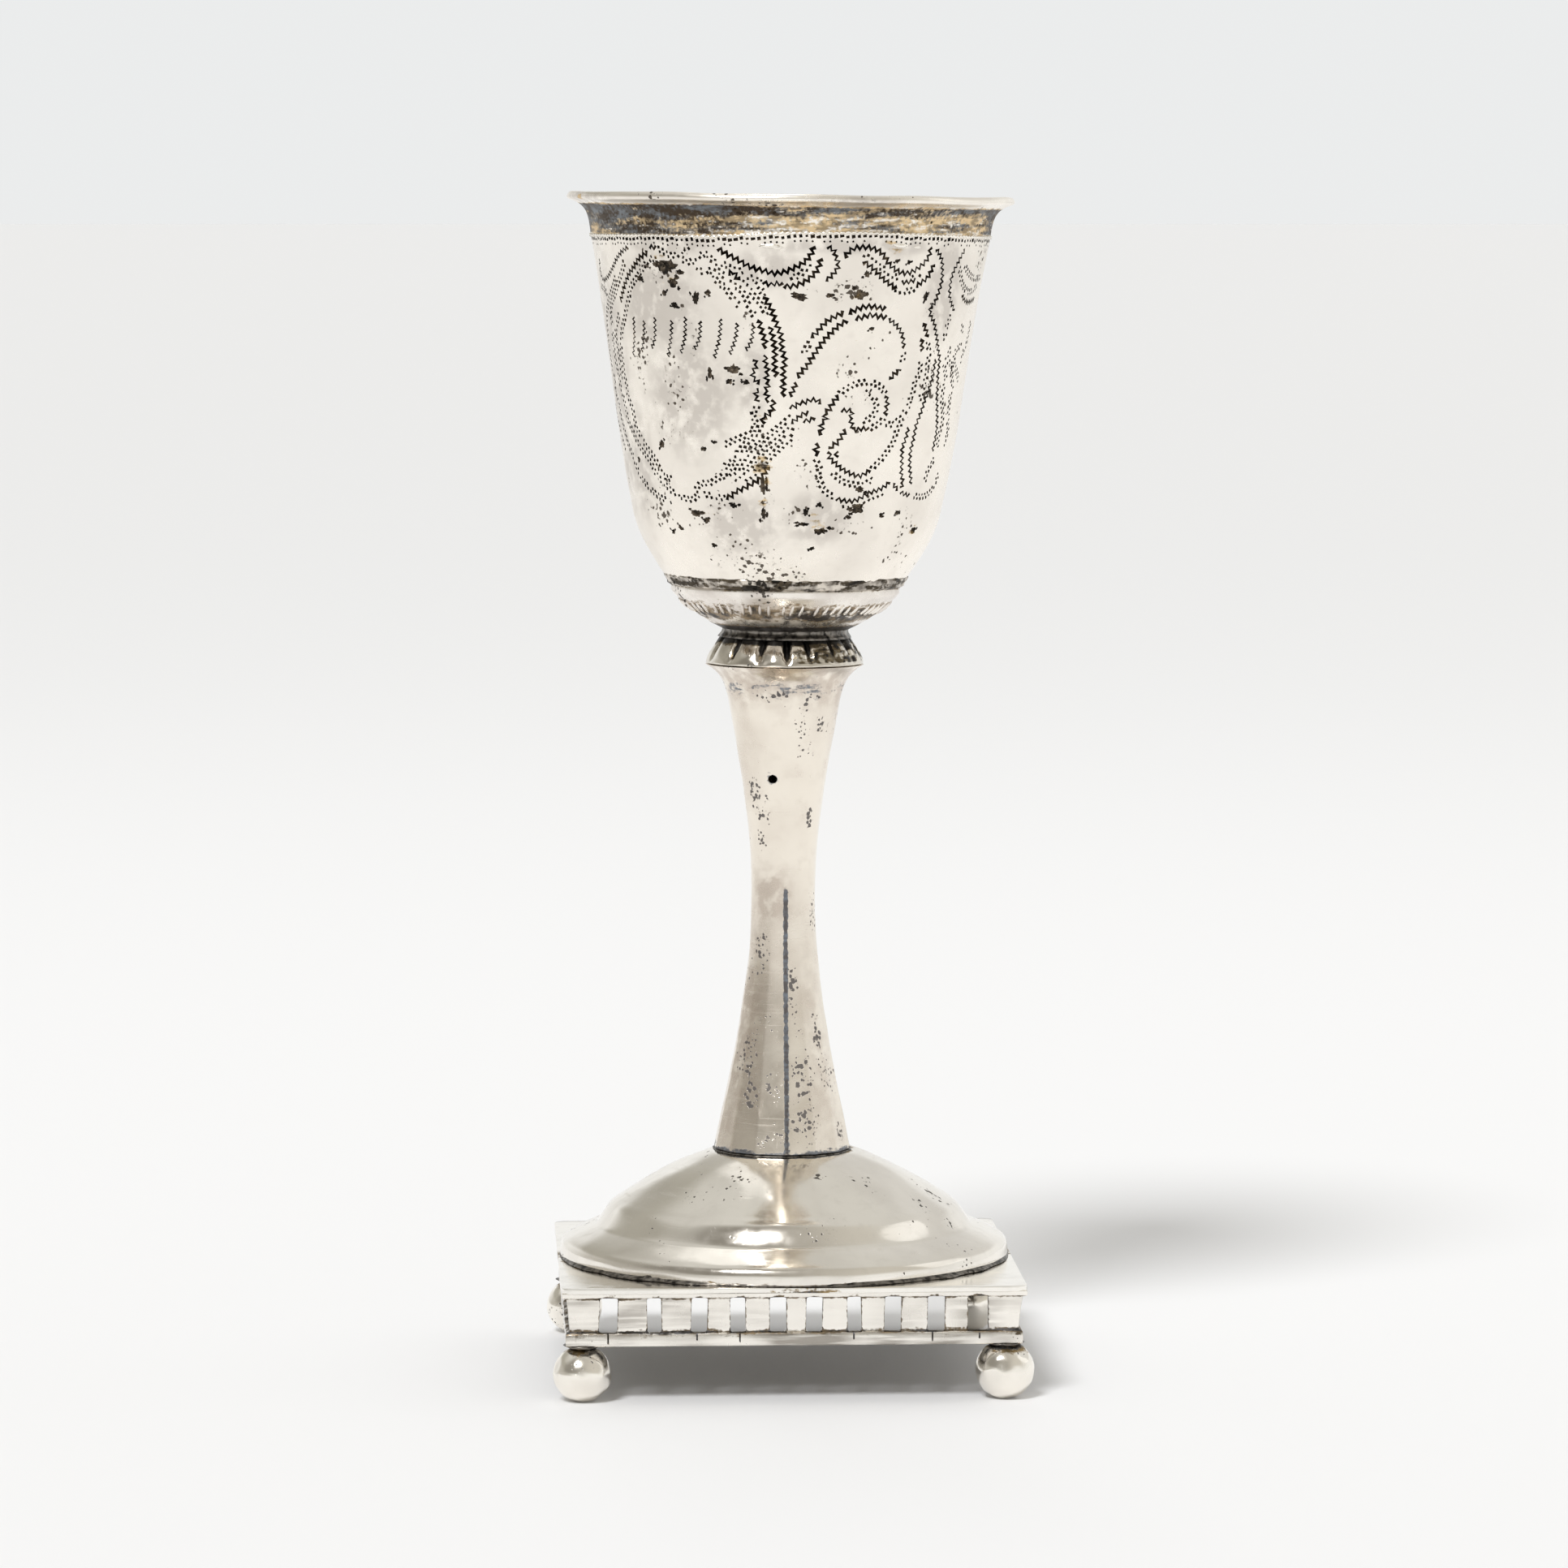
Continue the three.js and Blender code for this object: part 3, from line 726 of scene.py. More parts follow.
dome_profile = bezier(
    (dome_foot_radius, 0.0), (dome_foot_radius + 0.02, 0.9), (dome_foot_radius + 0.05, 1.9),
    (dome_foot_radius - 0.75, 2.35), 12,
)
dome_top = dome_crown_height - 0.02
for handle, next_handle, end, count in (
    ((dome_foot_radius - 1.6, 2.85), (25.3, 3.6), (24.55, 3.88), 12),
    ((24.2, 4.02), (24.1, 4.1), (23.85, 4.4), 6),
    ((23.2, 5.3), (22.7, 6.15), (22.25, 6.6), 8),
    ((21.9, 6.92), (21.5, 7.15), (21.0, 7.42), 6),
    ((18.0, 9.3), (13.6, 11.95), (dome_crown_radius, dome_top), 26),
):
    dome_profile += bezier(dome_profile[-1], handle, next_handle, end, count)[1:]
dome_lining = inside_of(dome_profile[::3] + [dome_profile[-1]], dome_wall)
dome_outline = (
    dome_profile + [(0.0, dome_top), (0.0, dome_crown_height - dome_wall)]
    + dome_lining[::-1] + [dome_profile[0]]
)
bm = turn(dome_outline, 180)
for v in bm.verts:
    radius = math.hypot(v.co.x, v.co.y)
    if radius > 0.5:
        hammered = lumpy(v.co, 5.5, 0.12, 4) + lumpy(v.co, 14.0, 0.17, 7)
        hammered *= min(1.0, max(0.0, (radius - 9.0) / 3)) * min(1.0, v.co.z / 1.5)
        push_out(v.co, 0.45 * hammered)
        v.co.z += hammered - 0.01
dome = finished(bm, "raised_dome", raised(dome_level))
dome_silver = silver(
    "dome_silver", bright=(0.945, 0.905, 0.835, 1), clouded=(0.74, 0.70, 0.64, 1), cloudiness=0.55,
    cloud_scale=90.0, polish=0.11, pits=0.4, pit_scale=1200.0, scratches=0.8, bump=0.30,
)
# Places with many small pits, as (bearing round from the front, height over the plate, size).
dome_pitting = [(38, 10.4, 2.6), (-26, 11.2, 2.2), (55, 7.6, 2.0), (8, 5.4, 1.6), (16, 11.6, 1.8),
                (62, 5.2, 1.6), (74, 8.2, 2.4), (30, 1.2, 1.4), (140, 9.0, 3.0), (-120, 7.0, 2.4)]


def bearing_of(p):
    """Degrees round from the front, positive towards +X."""
    return math.degrees(math.atan2(p.x, -p.y))


def apart(bearing, where):
    """Degrees between two bearings, the short way round."""
    return abs((bearing - where + 180) % 360 - 180)


def tarnish_on_dome(p):
    """Dark in the joints below and above, and on the hidden inside."""
    z = p.z - dome_level
    foot = max(0.0, 1 - z / 0.7)
    top = max(0.0, 1 - (math.hypot(p.x, p.y) - 8.8) / 0.9) if z > 9 else 0.0
    under = 0.3 if math.hypot(p.x, p.y) < 8.0 or z < -0.01 else 0.0
    return 0.6 * max(foot, top, under)


def pitting_on_dome(p):
    radius = max(0.1, math.hypot(p.x, p.y))
    most = 0.0
    for where, level, size in dome_pitting:
        off = apart(bearing_of(p), where) * math.radians(radius)
        most = max(most, 1.1 - math.hypot(off, 1.4 * (p.z - dome_level - level)) / size)
    return min(1.0, max(0.0, most))


paint(dome, "tarnish", tarnish_on_dome)
paint(dome, "pitting", pitting_on_dome)
fit(dome, dome_silver, "dome_silver", "foot_dome")

bm = solder_ring(dome_foot_radius - 0.15, dome_foot_radius + 0.26, 0.0, 0.75, 220, 6, wobble=0.07)
for v in bm.verts:
    if math.hypot(v.co.x, v.co.y) > dome_foot_radius:
        # The solder ran out furthest towards the plate's corners.
        corner = abs(math.sin(2 * math.atan2(v.co.y, v.co.x))) ** 2
        push_out(v.co, corner * (0.7 + noise.noise(v.co / 5.0)) - 0.16)
dome_solder = finished(bm, "dome_solder", raised(plate_high.z))
fit(dome_solder, solder_black, "dome_silver")


# Stem. Sheet rolled to a trumpet and soldered down the front, where the seam shows blue-grey
# below the waist, hammered to flats towards the foot, with one vent hole near the top.

stem_aside = -0.22
stem_gap = 0.3
stem_lean = 0.3
column_place = Matrix.Translation((stem_aside * mm, 0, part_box("foot_dome")[1].z + stem_gap * mm))
column_place = column_place @ turned(stem_lean, "Y")
stem_height = 62.1
stem_foot_radius = 8.85
stem_waist_radius = 4.04
stem_waist_height = 32.7
stem_throat_radius = 7.15
stem_throat_height = 57.7
stem_lip_radius = 10.1
stem_wall = 0.9
stem_flats = 14
seam_bearing = 1.5
seam_head = 32.0
vent_bearing = -18.0
vent_height = 47.7
vent_radius = 0.5

upper_height = stem_throat_height - stem_waist_height
lip_rise = stem_height - stem_throat_height
stem_profile = bezier(
    (stem_foot_radius, 0.0),
    (stem_foot_radius - 0.65 * (stem_foot_radius - stem_waist_radius), 0.45 * stem_waist_height),
    (stem_waist_radius, 0.7 * stem_waist_height),
    (stem_waist_radius, stem_waist_height), 44,
)
stem_profile += bezier(
    (stem_waist_radius, stem_waist_height),
    (stem_waist_radius, stem_waist_height + 0.36 * upper_height),
    (stem_throat_radius - 0.44 * (stem_throat_radius - stem_waist_radius),
     stem_throat_height - 0.32 * upper_height),
    (stem_throat_radius, stem_throat_height), 34,
)[1:]
stem_profile += bezier(
    (stem_throat_radius, stem_throat_height),
    (stem_throat_radius + 0.1 * lip_rise, stem_throat_height + 0.5 * lip_rise),
    (stem_throat_radius + 0.25 * lip_rise, stem_throat_height + 0.75 * lip_rise),
    (stem_lip_radius - 0.15, stem_height - 0.12), 14,
)[1:]
stem_profile += [(stem_lip_radius, stem_height - 0.03), (stem_lip_radius - 0.05, stem_height)]
stem_bore = [(radius - stem_wall, height) for radius, height in stem_profile[::5]]
stem_bore += [(stem_lip_radius - stem_wall, stem_height)]
bm = turn(stem_profile + stem_bore[::-1] + [stem_profile[0]], 196)


def beaten_flat(bearing, z):
    """How much of its radius the stem loses to the flats beaten on it, at a bearing and height."""
    off_middle = (bearing / 360 * stem_flats) % 1 - 0.5
    flat = math.cos(math.pi / stem_flats) / math.cos(2 * math.pi / stem_flats * off_middle)
    return (flat - 1) * 0.9 * min(1.0, max(0.0, 1 - z / stem_waist_height)) ** 0.8


for v in bm.verts:
    radius = math.hypot(v.co.x, v.co.y)
    bearing = bearing_of(v.co)
    z = v.co.z
    pull = radius * beaten_flat(bearing, z)
    hammered = lumpy(v.co, 3.2, 0.05, 2) + lumpy(v.co, 8.0, 0.09, 5)
    pull += hammered * min(1.0, z / 2) * min(1.0, (stem_height - z) / 3)
    off_seam = abs(bearing - seam_bearing) * math.pi / 180 * radius
    if off_seam < 0.5 and 1.0 < z < seam_head:
        pull -= 0.05 * (1 - off_seam / 0.5) * min(1.0, (seam_head - z) / 3)
    push_out(v.co, pull)
stem = finished(bm, "rolled_stem", column_place)
stem_silver = silver(
    "stem_silver", bright=(0.925, 0.86, 0.76, 1), clouded=(0.66, 0.58, 0.50, 1), cloudiness=0.5,
    cloud_scale=100.0, polish=0.20, pits=0.6, pit_scale=1700.0, scratches=0.7, bump=0.45,
    tarnished=(0.14, 0.13, 0.13, 1), blued=(0.22, 0.245, 0.28, 1), golden=(0.24, 0.255, 0.28, 1),
)
stem.data.materials.append(stem_silver)
stem.data.materials.append(solder_black)
bm = bmesh.new()
bmesh.ops.create_cone(
    bm, cap_ends=True, segments=20, radius1=vent_radius - 0.06, radius2=vent_radius + 0.12, depth=3.0,
)
for v in bm.verts:
    v.co.x *= 1.2
    v.co.xy *= 1 + 0.25 * noise.noise(v.co * 1.7)
vent_place = turned(vent_bearing, "Z") @ Matrix.Translation((0, -5.6, vent_height))
bmesh.ops.transform(bm, matrix=vent_place @ turned(90, "X"), verts=bm.verts[:])
drill = finished(bm, "vent_drill", column_place)
drill.data.materials.append(solder_black)
carve(stem, drill)
shade(stem, 50)
to_column = column_place.inverted()


# Places with many small pits, as (bearing, height over the foot, half width, half height).
stem_pitting = [
    (-50, 46.0, 1.5, 4.4), (-40, 41.0, 1.3, 4.0), (46, 54.5, 1.7, 2.2), (40, 43.0, 0.9, 4.0),
    (-42, 25.0, 1.4, 4.6), (-46, 12.0, 2.0, 3.6), (-38, 7.2, 1.9, 2.6), (20, 9.6, 2.0, 6.4),
    (-12, 8.4, 1.5, 4.0), (14, 3.4, 4.6, 2.8), (-32, 43.4, 1.0, 3.4), (14, 21.0, 1.0, 4.4),
    (46, 15.0, 1.2, 4.0), (-16, 58.4, 3.0, 1.0), (26, 57.8, 2.0, 1.4), (-16, 1.6, 2.6, 1.0),
    (62, 2.4, 1.6, 1.8), (120, 12.0, 2.4, 5.0), (170, 46.0, 3.0, 5.0), (-130, 30.0, 1.6, 6.0),
]


def nearness(q, spots):
    """1 at the middle of the nearest of some spots and 0 at its edge, for a point in a piece's own
    frame. A spot is (bearing, height, half width, half height)."""
    radius = math.hypot(q.x, q.y)
    nearest = 0.0
    for bearing, level, half_width, half_height in spots:
        off = apart(bearing_of(q), bearing) * math.radians(radius)
        nearest = max(nearest, 1.8 * (1 - math.hypot(off / half_width, (q.z - level) / half_height)))
    return min(1.0, nearest)


def tarnish_on_stem(p):
    """Dark along the seam, under the lip, at the foot, round the vent and inside."""
    q = to_column @ (p * mm) / mm
    radius = max(0.1, math.hypot(q.x, q.y))
    off_seam = abs(bearing_of(q) - seam_bearing) * math.pi / 180 * radius
    seam = min(0.95, max(0.0, 1.6 - off_seam / 0.28)) * min(1.0, max(0.0, (34.3 - q.z) / 1.5))
    seam *= 1.0 + 0.25 * noise.noise(Vector((0, 0, q.z / 2.6)))
    lip = max(0.0, 1 - abs(q.z - 59.3) / 2.2) * (0.50 + 0.35 * noise.noise(q / 1.6))
    foot = max(0.0, 1 - q.z / 0.8)
    facing = math.radians(vent_bearing)
    hole = Vector((math.sin(facing) * 5.3, -math.cos(facing) * 5.3, vent_height))
    vent = max(0.0, 1.3 - (q - hole).length / 0.95)
    inside = 0.4 if radius < 3.0 else 0.0
    return max(seam, lip, 0.8 * foot, vent, inside)


def haze_on_stem(p):
    """Dull at the waist, low down on both sides, and towards the lip."""
    q = to_column @ (p * mm) / mm
    bearing = bearing_of(q)
    waist = max(0.0, 1 - abs(q.z - 33.0) / 4.0) * max(0.0, 1 - abs(bearing + 25) / 45)
    left = max(0.0, 1 - abs(bearing + 62) / 50) * max(0.0, 1 - abs(q.z - 15) / 20)
    right = max(0.0, 1 - abs(bearing - 46) / 30) * max(0.0, 1 - abs(q.z - 13) / 18)
    return min(1.0, 2.2 * waist + 1.3 * left + 0.6 * right + 0.9 * max(0.0, (q.z - 55.5) / 4))


paint(stem, "tarnish", tarnish_on_stem)
paint(stem, "haze", haze_on_stem)
paint(stem, "pitting", lambda p: nearness(to_column @ (p * mm) / mm, stem_pitting))
fit(stem, stem_silver, "stem_silver", "stem")

bm = solder_ring(stem_foot_radius - 0.3, stem_foot_radius + 0.20, -0.32, 0.16, 196, 9, wobble=0.10)
for v in bm.verts:
    v.co.xy *= 1 + beaten_flat(bearing_of(v.co), 0.0)
stem_solder = finished(bm, "stem_solder", column_place)
fit(stem_solder, solder_black, "stem_silver")


# Collar. A cast ring of rounded lobes on the stem's lip. Deep grooves part the lobes and run
# out above the thin bright lip below them. The grooves and the neck above are black.

collar_height = 3.5
collar_neck_radius = 8.3
collar_lip_radius = 10.1
collar_bore = 6.4
groove_bearings = [-169, -148, -124, -99, -75, -47, -22, -1, 17, 40, 60, 81, 104, 127, 150, 172]
groove_depths = [0.9, 0.8, 1.0, 0.8, 1.0, 1.15, 0.9, 1.3, 1.0, 0.9, 0.9, 0.8, 0.9, 1.0, 0.8, 0.9]
solder_gap = 0.05
collar_place = column_place @ raised(stem_height + solder_gap)

collar_profile = [(collar_lip_radius - 0.25, 0.0), (collar_lip_radius - 0.04, 0.05)]
collar_profile += bezier(
    (collar_lip_radius, 0.16), (collar_lip_radius + 0.02, 0.32 * collar_height),
    (collar_neck_radius + 0.75, 0.66 * collar_height), (collar_neck_radius, collar_height), 22,
)
bm = turn(
    [(collar_bore, 0.0)] + collar_profile + [(collar_bore, collar_height), (collar_bore, 0.0)], 288,
)


def groove_at(bearing, z):
    """How deep the nearest groove is at a bearing and height, and 0 between grooves."""
    deepest = 0.0
    for where, depth in zip(groove_bearings, groove_depths):
        off = apart(bearing, where)
        half_width = 2.6 + 1.4 * z / collar_height
        run = min(1.0, max(0.0, (z - 0.55 * (1.4 - depth)) / (0.6 * collar_height)))
        deepest = max(deepest, depth * run * max(0.0, 1 - off / half_width) ** 0.7)
    return deepest


for v in bm.verts:
    if math.hypot(v.co.x, v.co.y) > collar_bore + 0.5:
        bearing = bearing_of(v.co)
        nearest = min(apart(bearing, where) for where in groove_bearings)
        swell = 0.30 * (1 - min(1.0, nearest / 11.0)) ** 1.5 * min(1.0, v.co.z / 1.2)
        pull = -0.62 * groove_at(bearing, v.co.z) - swell
        pull += lumpy(v.co, 1.6, 0.07, 3) * min(1.0, v.co.z) + lumpy(v.co, 5.0, 0.06, 8) - 0.03
        push_out(v.co, pull)
        if v.co.z < 0.4:
            v.co.z += 0.05 + lumpy(v.co, 3.0, 0.05, 1)
collar = finished(bm, "lobed_collar", collar_place)
collar_silver = silver(
    "collar_silver", bright=(0.78, 0.735, 0.655, 1), clouded=(0.44, 0.40, 0.34, 1), cloudiness=0.6,
    cloud_scale=300.0, tarnished=(0.025, 0.022, 0.02, 1), golden=(0.20, 0.16, 0.10, 1),
    blued=(0.05, 0.048, 0.045, 1), polish=0.10, pits=0.9, pit_scale=1400.0, scratches=0.2, bump=0.5,
)
to_collar = collar_place.inverted()


def tarnish_in_grooves(p):
    """Black in the grooves and at the neck, and patchy on the lobes at the right."""
    q = to_collar @ (p * mm) / mm
    bearing = bearing_of(q)
    rough_side = max(0.0, min(1.0, (bearing + 14) / 34)) * (0.62 + 0.5 * noise.noise(q / 0.7))
    top = max(0.0, (q.z - 2.2) / 0.8)
    return max(1.7 * groove_at(bearing, q.z), top, rough_side if q.z > 0.45 else 0.0)


paint(collar, "tarnish", tarnish_in_grooves)
fit(collar, collar_silver, "collar_silver", "collar")


# Saucer. A silver disc domed to a shallow dish and soldered on the collar, its flat rim filed. A
# row of short upright strokes, rubbed by wear, runs round its side.

cup_lean = 0.55
cup_place = collar_place @ raised(collar_height) @ turned(cup_lean, "Y")
seat_gap = 0.3
saucer_radius = 14.6
saucer_sphere = 19.7
saucer_thickness = 1.2
saucer_rim = 0.8


def sphere_rise(sphere, radius):
    """How far a domed disc has risen over its middle, at a radius."""
    return sphere - math.sqrt(sphere ** 2 - radius ** 2)


saucer_level = seat_gap - sphere_rise(saucer_sphere, collar_bore)
saucer_rim_top = sphere_rise(saucer_sphere, saucer_radius) + saucer_rim
saucer_profile = [saucer_radius * i / 40 for i in range(40)]
saucer_profile = [(radius, sphere_rise(saucer_sphere, radius)) for radius in saucer_profile]
saucer_profile += [
    (saucer_radius - 0.05, saucer_rim_top - saucer_rim - 0.02),
    (saucer_radius, saucer_rim_top - saucer_rim + 0.08), (saucer_radius - 0.02, saucer_rim_top - 0.4),
    (saucer_radius, saucer_rim_top - 0.05), (saucer_radius - 0.06, saucer_rim_top),
]
inner_sphere = saucer_sphere - saucer_thickness
inner_rim = math.sqrt(inner_sphere ** 2 - (saucer_sphere - saucer_rim_top) ** 2)
saucer_lining = [inner_rim * i / 12 for i in range(12, -1, -1)]
saucer_lining = [
    (radius, saucer_sphere - math.sqrt(inner_sphere ** 2 - radius ** 2)) for radius in saucer_lining
]
bm = turn(saucer_profile + saucer_lining, 240)
saucer_place = cup_place @ raised(saucer_level)
for v in bm.verts:
    radius = math.hypot(v.co.x, v.co.y)
    if radius > 1.0 and v.co.z < saucer_rim_top - 0.1:
        push_out(v.co, lumpy(v.co, 4.0, 0.05, 11) + lumpy(v.co, 1.2, 0.03, 2) - 0.04)
saucer = finished(bm, "domed_saucer", saucer_place)
saucer_silver = silver(
    "saucer_silver", clouded=(0.66, 0.60, 0.55, 1), cloudiness=0.8, cloud_scale=180.0,
    tarnished=(0.07, 0.06, 0.05, 1), golden=(0.36, 0.28, 0.19, 1), blued=(0.16, 0.15, 0.15, 1),
    polish=0.24, pits=0.9, pit_scale=1500.0, scratches=0.4, bump=0.5,
)
to_saucer = saucer_place.inverted()
stroke_radius = 12.7
stroke_height = 2.3
stroke_group_space = 3.5


def tarnish_on_saucer(p):
    """Dark on top of the rim, round the neck below, and in a patchy belt between the strokes."""
    q = to_saucer @ (p * mm) / mm
    radius = math.hypot(q.x, q.y)
    rim = 1.0 if q.z > saucer_rim_top - 0.35 and radius > 14 else 0.0
    neck = max(0.0, 1 - (radius - 8.9) / 1.5)
    row = min(1.0, max(0.0, 1.3 - abs(radius - stroke_radius + 0.7) / 2.1))
    row *= 0.74 + 0.35 * noise.noise(q / 1.8)
    return max(0.66 * rim, min(1.0, neck), row)


paint(saucer, "tarnish", tarnish_on_saucer)
fit(saucer, saucer_silver, "saucer_silver", "saucer")

stroke_row = bmesh.new()
stroke_level = sphere_rise(saucer_sphere, stroke_radius)
lay = Matrix.Rotation(math.pi / 2 - math.asin(stroke_radius / saucer_sphere), 4, "X")
dice = random.Random(77)
bearing = -178.0
while bearing < 176.0:
    for _ in range(dice.choice((3, 4, 5, 6))):
        tall = dice.uniform(0.85, 1.1) * stroke_height
        stroke = bmesh.ops.create_icosphere(stroke_row, subdivisions=2, radius=0.5)["verts"]
        bmesh.ops.scale(stroke_row, vec=(0.44, 0.56, tall), verts=stroke)
        stand = turned(bearing, "Z") @ Matrix.Translation((0, -stroke_radius, stroke_level))
        stand = stand @ lay @ turned(dice.uniform(4, 12), "Y")
        bmesh.ops.transform(stroke_row, matrix=stand, verts=stroke)
        bearing += dice.uniform(4.6, 5.6)
    bearing += stroke_group_space
strokes = finished(stroke_row, "saucer_strokes", saucer_place)
fit(strokes, saucer_silver, "saucer_silver")

neck_section = [
    (6.0, 0.0), (8.5, 0.0), (8.25, 0.32), (8.0, 0.62), (7.95, 0.9), (8.15, 1.3), (6.0, 0.9), (6.0, 0.0),
]
bm = turn(neck_section, 180)
for v in bm.verts:
    radius = v.co.xy.length
    if radius > 7:
        v.co.xy *= 1 + (lumpy(v.co, 1.0, 0.22, 31) + lumpy(v.co, 3.0, 0.2, 34)) / radius
neck_solder = finished(bm, "neck_solder", cup_place @ raised(-0.12))
fit(neck_solder, solder_black, "saucer_silver")


# Bowl. Raised from one sheet of silver, with a rolled-out lip, and soldered on the saucer's rim.
# Its upper two thirds are engraved with a rocked graver, in zigzag lines and rows of small
# notches: a wreath, scrolls and hanging swags under a border of short cuts. Old pits lie over it.

bowl_place = cup_place @ raised(saucer_level + saucer_rim_top + seat_gap)
to_bowl = bowl_place.inverted()
bowl_seat = (14.9, 0.1)
bowl_belly = (19.86, 9.6)
bowl_throat = (25.57, 44.25)
bowl_lip = (28.4, 48.5)
bowl_wall = 1.0
belly_handle = 0.37 * bowl_belly[1]
side_handle = 0.33 * (bowl_throat[1] - bowl_belly[1])
bowl_lip_rise = bowl_lip[1] - bowl_throat[1]

bowl_side = bezier(
    bowl_seat, (bowl_seat[0] + 0.6 * belly_handle, bowl_seat[1] + 0.8 * belly_handle),
    (bowl_belly[0] - 0.165 * belly_handle, bowl_belly[1] - belly_handle), bowl_belly, 18,
)
bowl_side += bezier(
    bowl_belly, (bowl_belly[0] + 0.2 * side_handle, bowl_belly[1] + side_handle),
    (bowl_throat[0] - 0.2 * side_handle, bowl_throat[1] - side_handle), bowl_throat, 46,
)[1:]
bowl_side += bezier(
    bowl_throat, (bowl_throat[0] + 0.07 * bowl_lip_rise, bowl_throat[1] + 0.62 * bowl_lip_rise),
    (bowl_throat[0] + 0.16 * bowl_lip_rise, bowl_throat[1] + 0.85 * bowl_lip_rise), bowl_lip, 16,
)[1:]
bowl_lining = inside_of(bowl_side[::3] + [bowl_lip], bowl_wall)
lip_turn = bezier(
    bowl_lip, (bowl_lip[0] + 0.42, bowl_lip[1] + 0.12),
    (bowl_lining[-1][0] + 0.35, bowl_lining[-1][1] + 0.05), bowl_lining[-1], 6,
)
bowl_foot = [(0.0, -1.2), (4.0, -1.06), (7.8, -0.76), (11.0, -0.3), (12.9, 0.0), (14.3, 0.02)]
bowl_floor = [(12.9, 1.0), (11.0, 0.7), (7.8, 0.24), (4.0, -0.06), (0.0, -0.2)]
bowl_outline = bowl_foot + bowl_side + lip_turn[1:-1] + bowl_lining[::-1][:-1] + bowl_floor
bm = turn(bowl_outline, 200)


def side_radius(z):
    """Outer radius of the bowl at a height over its seat."""
    for (r0, z0), (r1, z1) in zip(bowl_side, bowl_side[1:]):
        if z <= z1:
            return r0 + (r1 - r0) * max(0.0, z - z0) / (z1 - z0)
    return bowl_lip[0]


def dents(bearing, z):
    """Raising marks and the larger dents of the side, in millimetres outwards."""
    turned_by = math.radians(bearing)
    where = Vector((math.sin(turned_by) * 22, -math.cos(turned_by) * 22, z))
    dent = lumpy(where, 5.0, 0.045, 13) + lumpy(where, 13.0, 0.16, 5)
    crease = Vector((bearing * 0.37 + 11.5, z - 18.2))
    across = crease.x * 0.83 + crease.y * 0.56
    along = crease.y * 0.83 - crease.x * 0.56
    dent -= 0.12 * math.exp(-(across / 0.8) ** 2 - (along / 2.4) ** 2)
    return dent - 0.10


for v in bm.verts:
    z = v.co.z
    if math.hypot(v.co.x, v.co.y) > 6 and z > 0.3:
        push_out(v.co, dents(bearing_of(v.co), z) * min(1.0, z / 3))
        lip = max(0.0, (z - 46) / 2.5)
        v.co.z += lip * (lumpy(v.co, 9.0, 0.12, 17) - 0.09)
bowl = finished(bm, "engraved_bowl", bowl_place)
bowl_silver = silver(
    "bowl_silver", bright=(0.995, 0.94, 0.855, 1), clouded=(0.70, 0.65, 0.59, 1), cloudiness=0.42,
    cloud_scale=70.0, polish=0.27, pits=0.7, pit_scale=1200.0, scratches=0.8, bump=0.35,
    tarnished=(0.075, 0.055, 0.038, 1), golden=(0.80, 0.62, 0.38, 1), blued=(0.22, 0.235, 0.25, 1),
)
groove_black = silver(
    "groove_black", bright=(0.06, 0.045, 0.03, 1), clouded=(0.012, 0.010, 0.009, 1),
    cloud_scale=1200.0, cloudiness=0.9, polish=0.45, pits=0.0, scratches=0.0, bump=0.2,
)
pit_crust = silver(
    "pit_crust", bright=(0.17, 0.135, 0.10, 1), clouded=(0.035, 0.03, 0.025, 1),
    cloud_scale=1300.0, cloudiness=1.0, polish=0.5, pits=0.0, scratches=0.0, bump=0.6,
)
for finish in (bowl_silver, groove_black, pit_crust):
    bowl.data.materials.append(finish)

# The front of the work was read off the photograph line by line, as the pixels that each line
# passes through. Where the camera sees a pixel is where the line lies on the bowl.
photo_middle = 966
photo_focus = 2 * photo_middle * camera_data.lens / camera_data.sensor_width
camera_turn = camera.rotation_euler.to_matrix()


def seen_at(across, down):
    """Bearing and height on the side of the bowl that the camera sees at a pixel of the photo."""
    aim = Vector(((across - photo_middle) / photo_focus, (photo_middle - down) / photo_focus, -1))
    aim = camera_turn @ aim
    aim = (to_bowl.to_3x3() @ aim).normalized()
    eye = to_bowl @ camera.location / mm
    z = 25.0
    for _ in range(8):
        flat = aim.xy.length_squared
        towards = eye.xy.dot(aim.xy)
        inside = max(0.0, towards ** 2 - flat * (eye.xy.length_squared - side_radius(z) ** 2))
        hit = eye + aim * (-towards - math.sqrt(inside)) / flat
        z = hit.z
    return bearing_of(hit), z


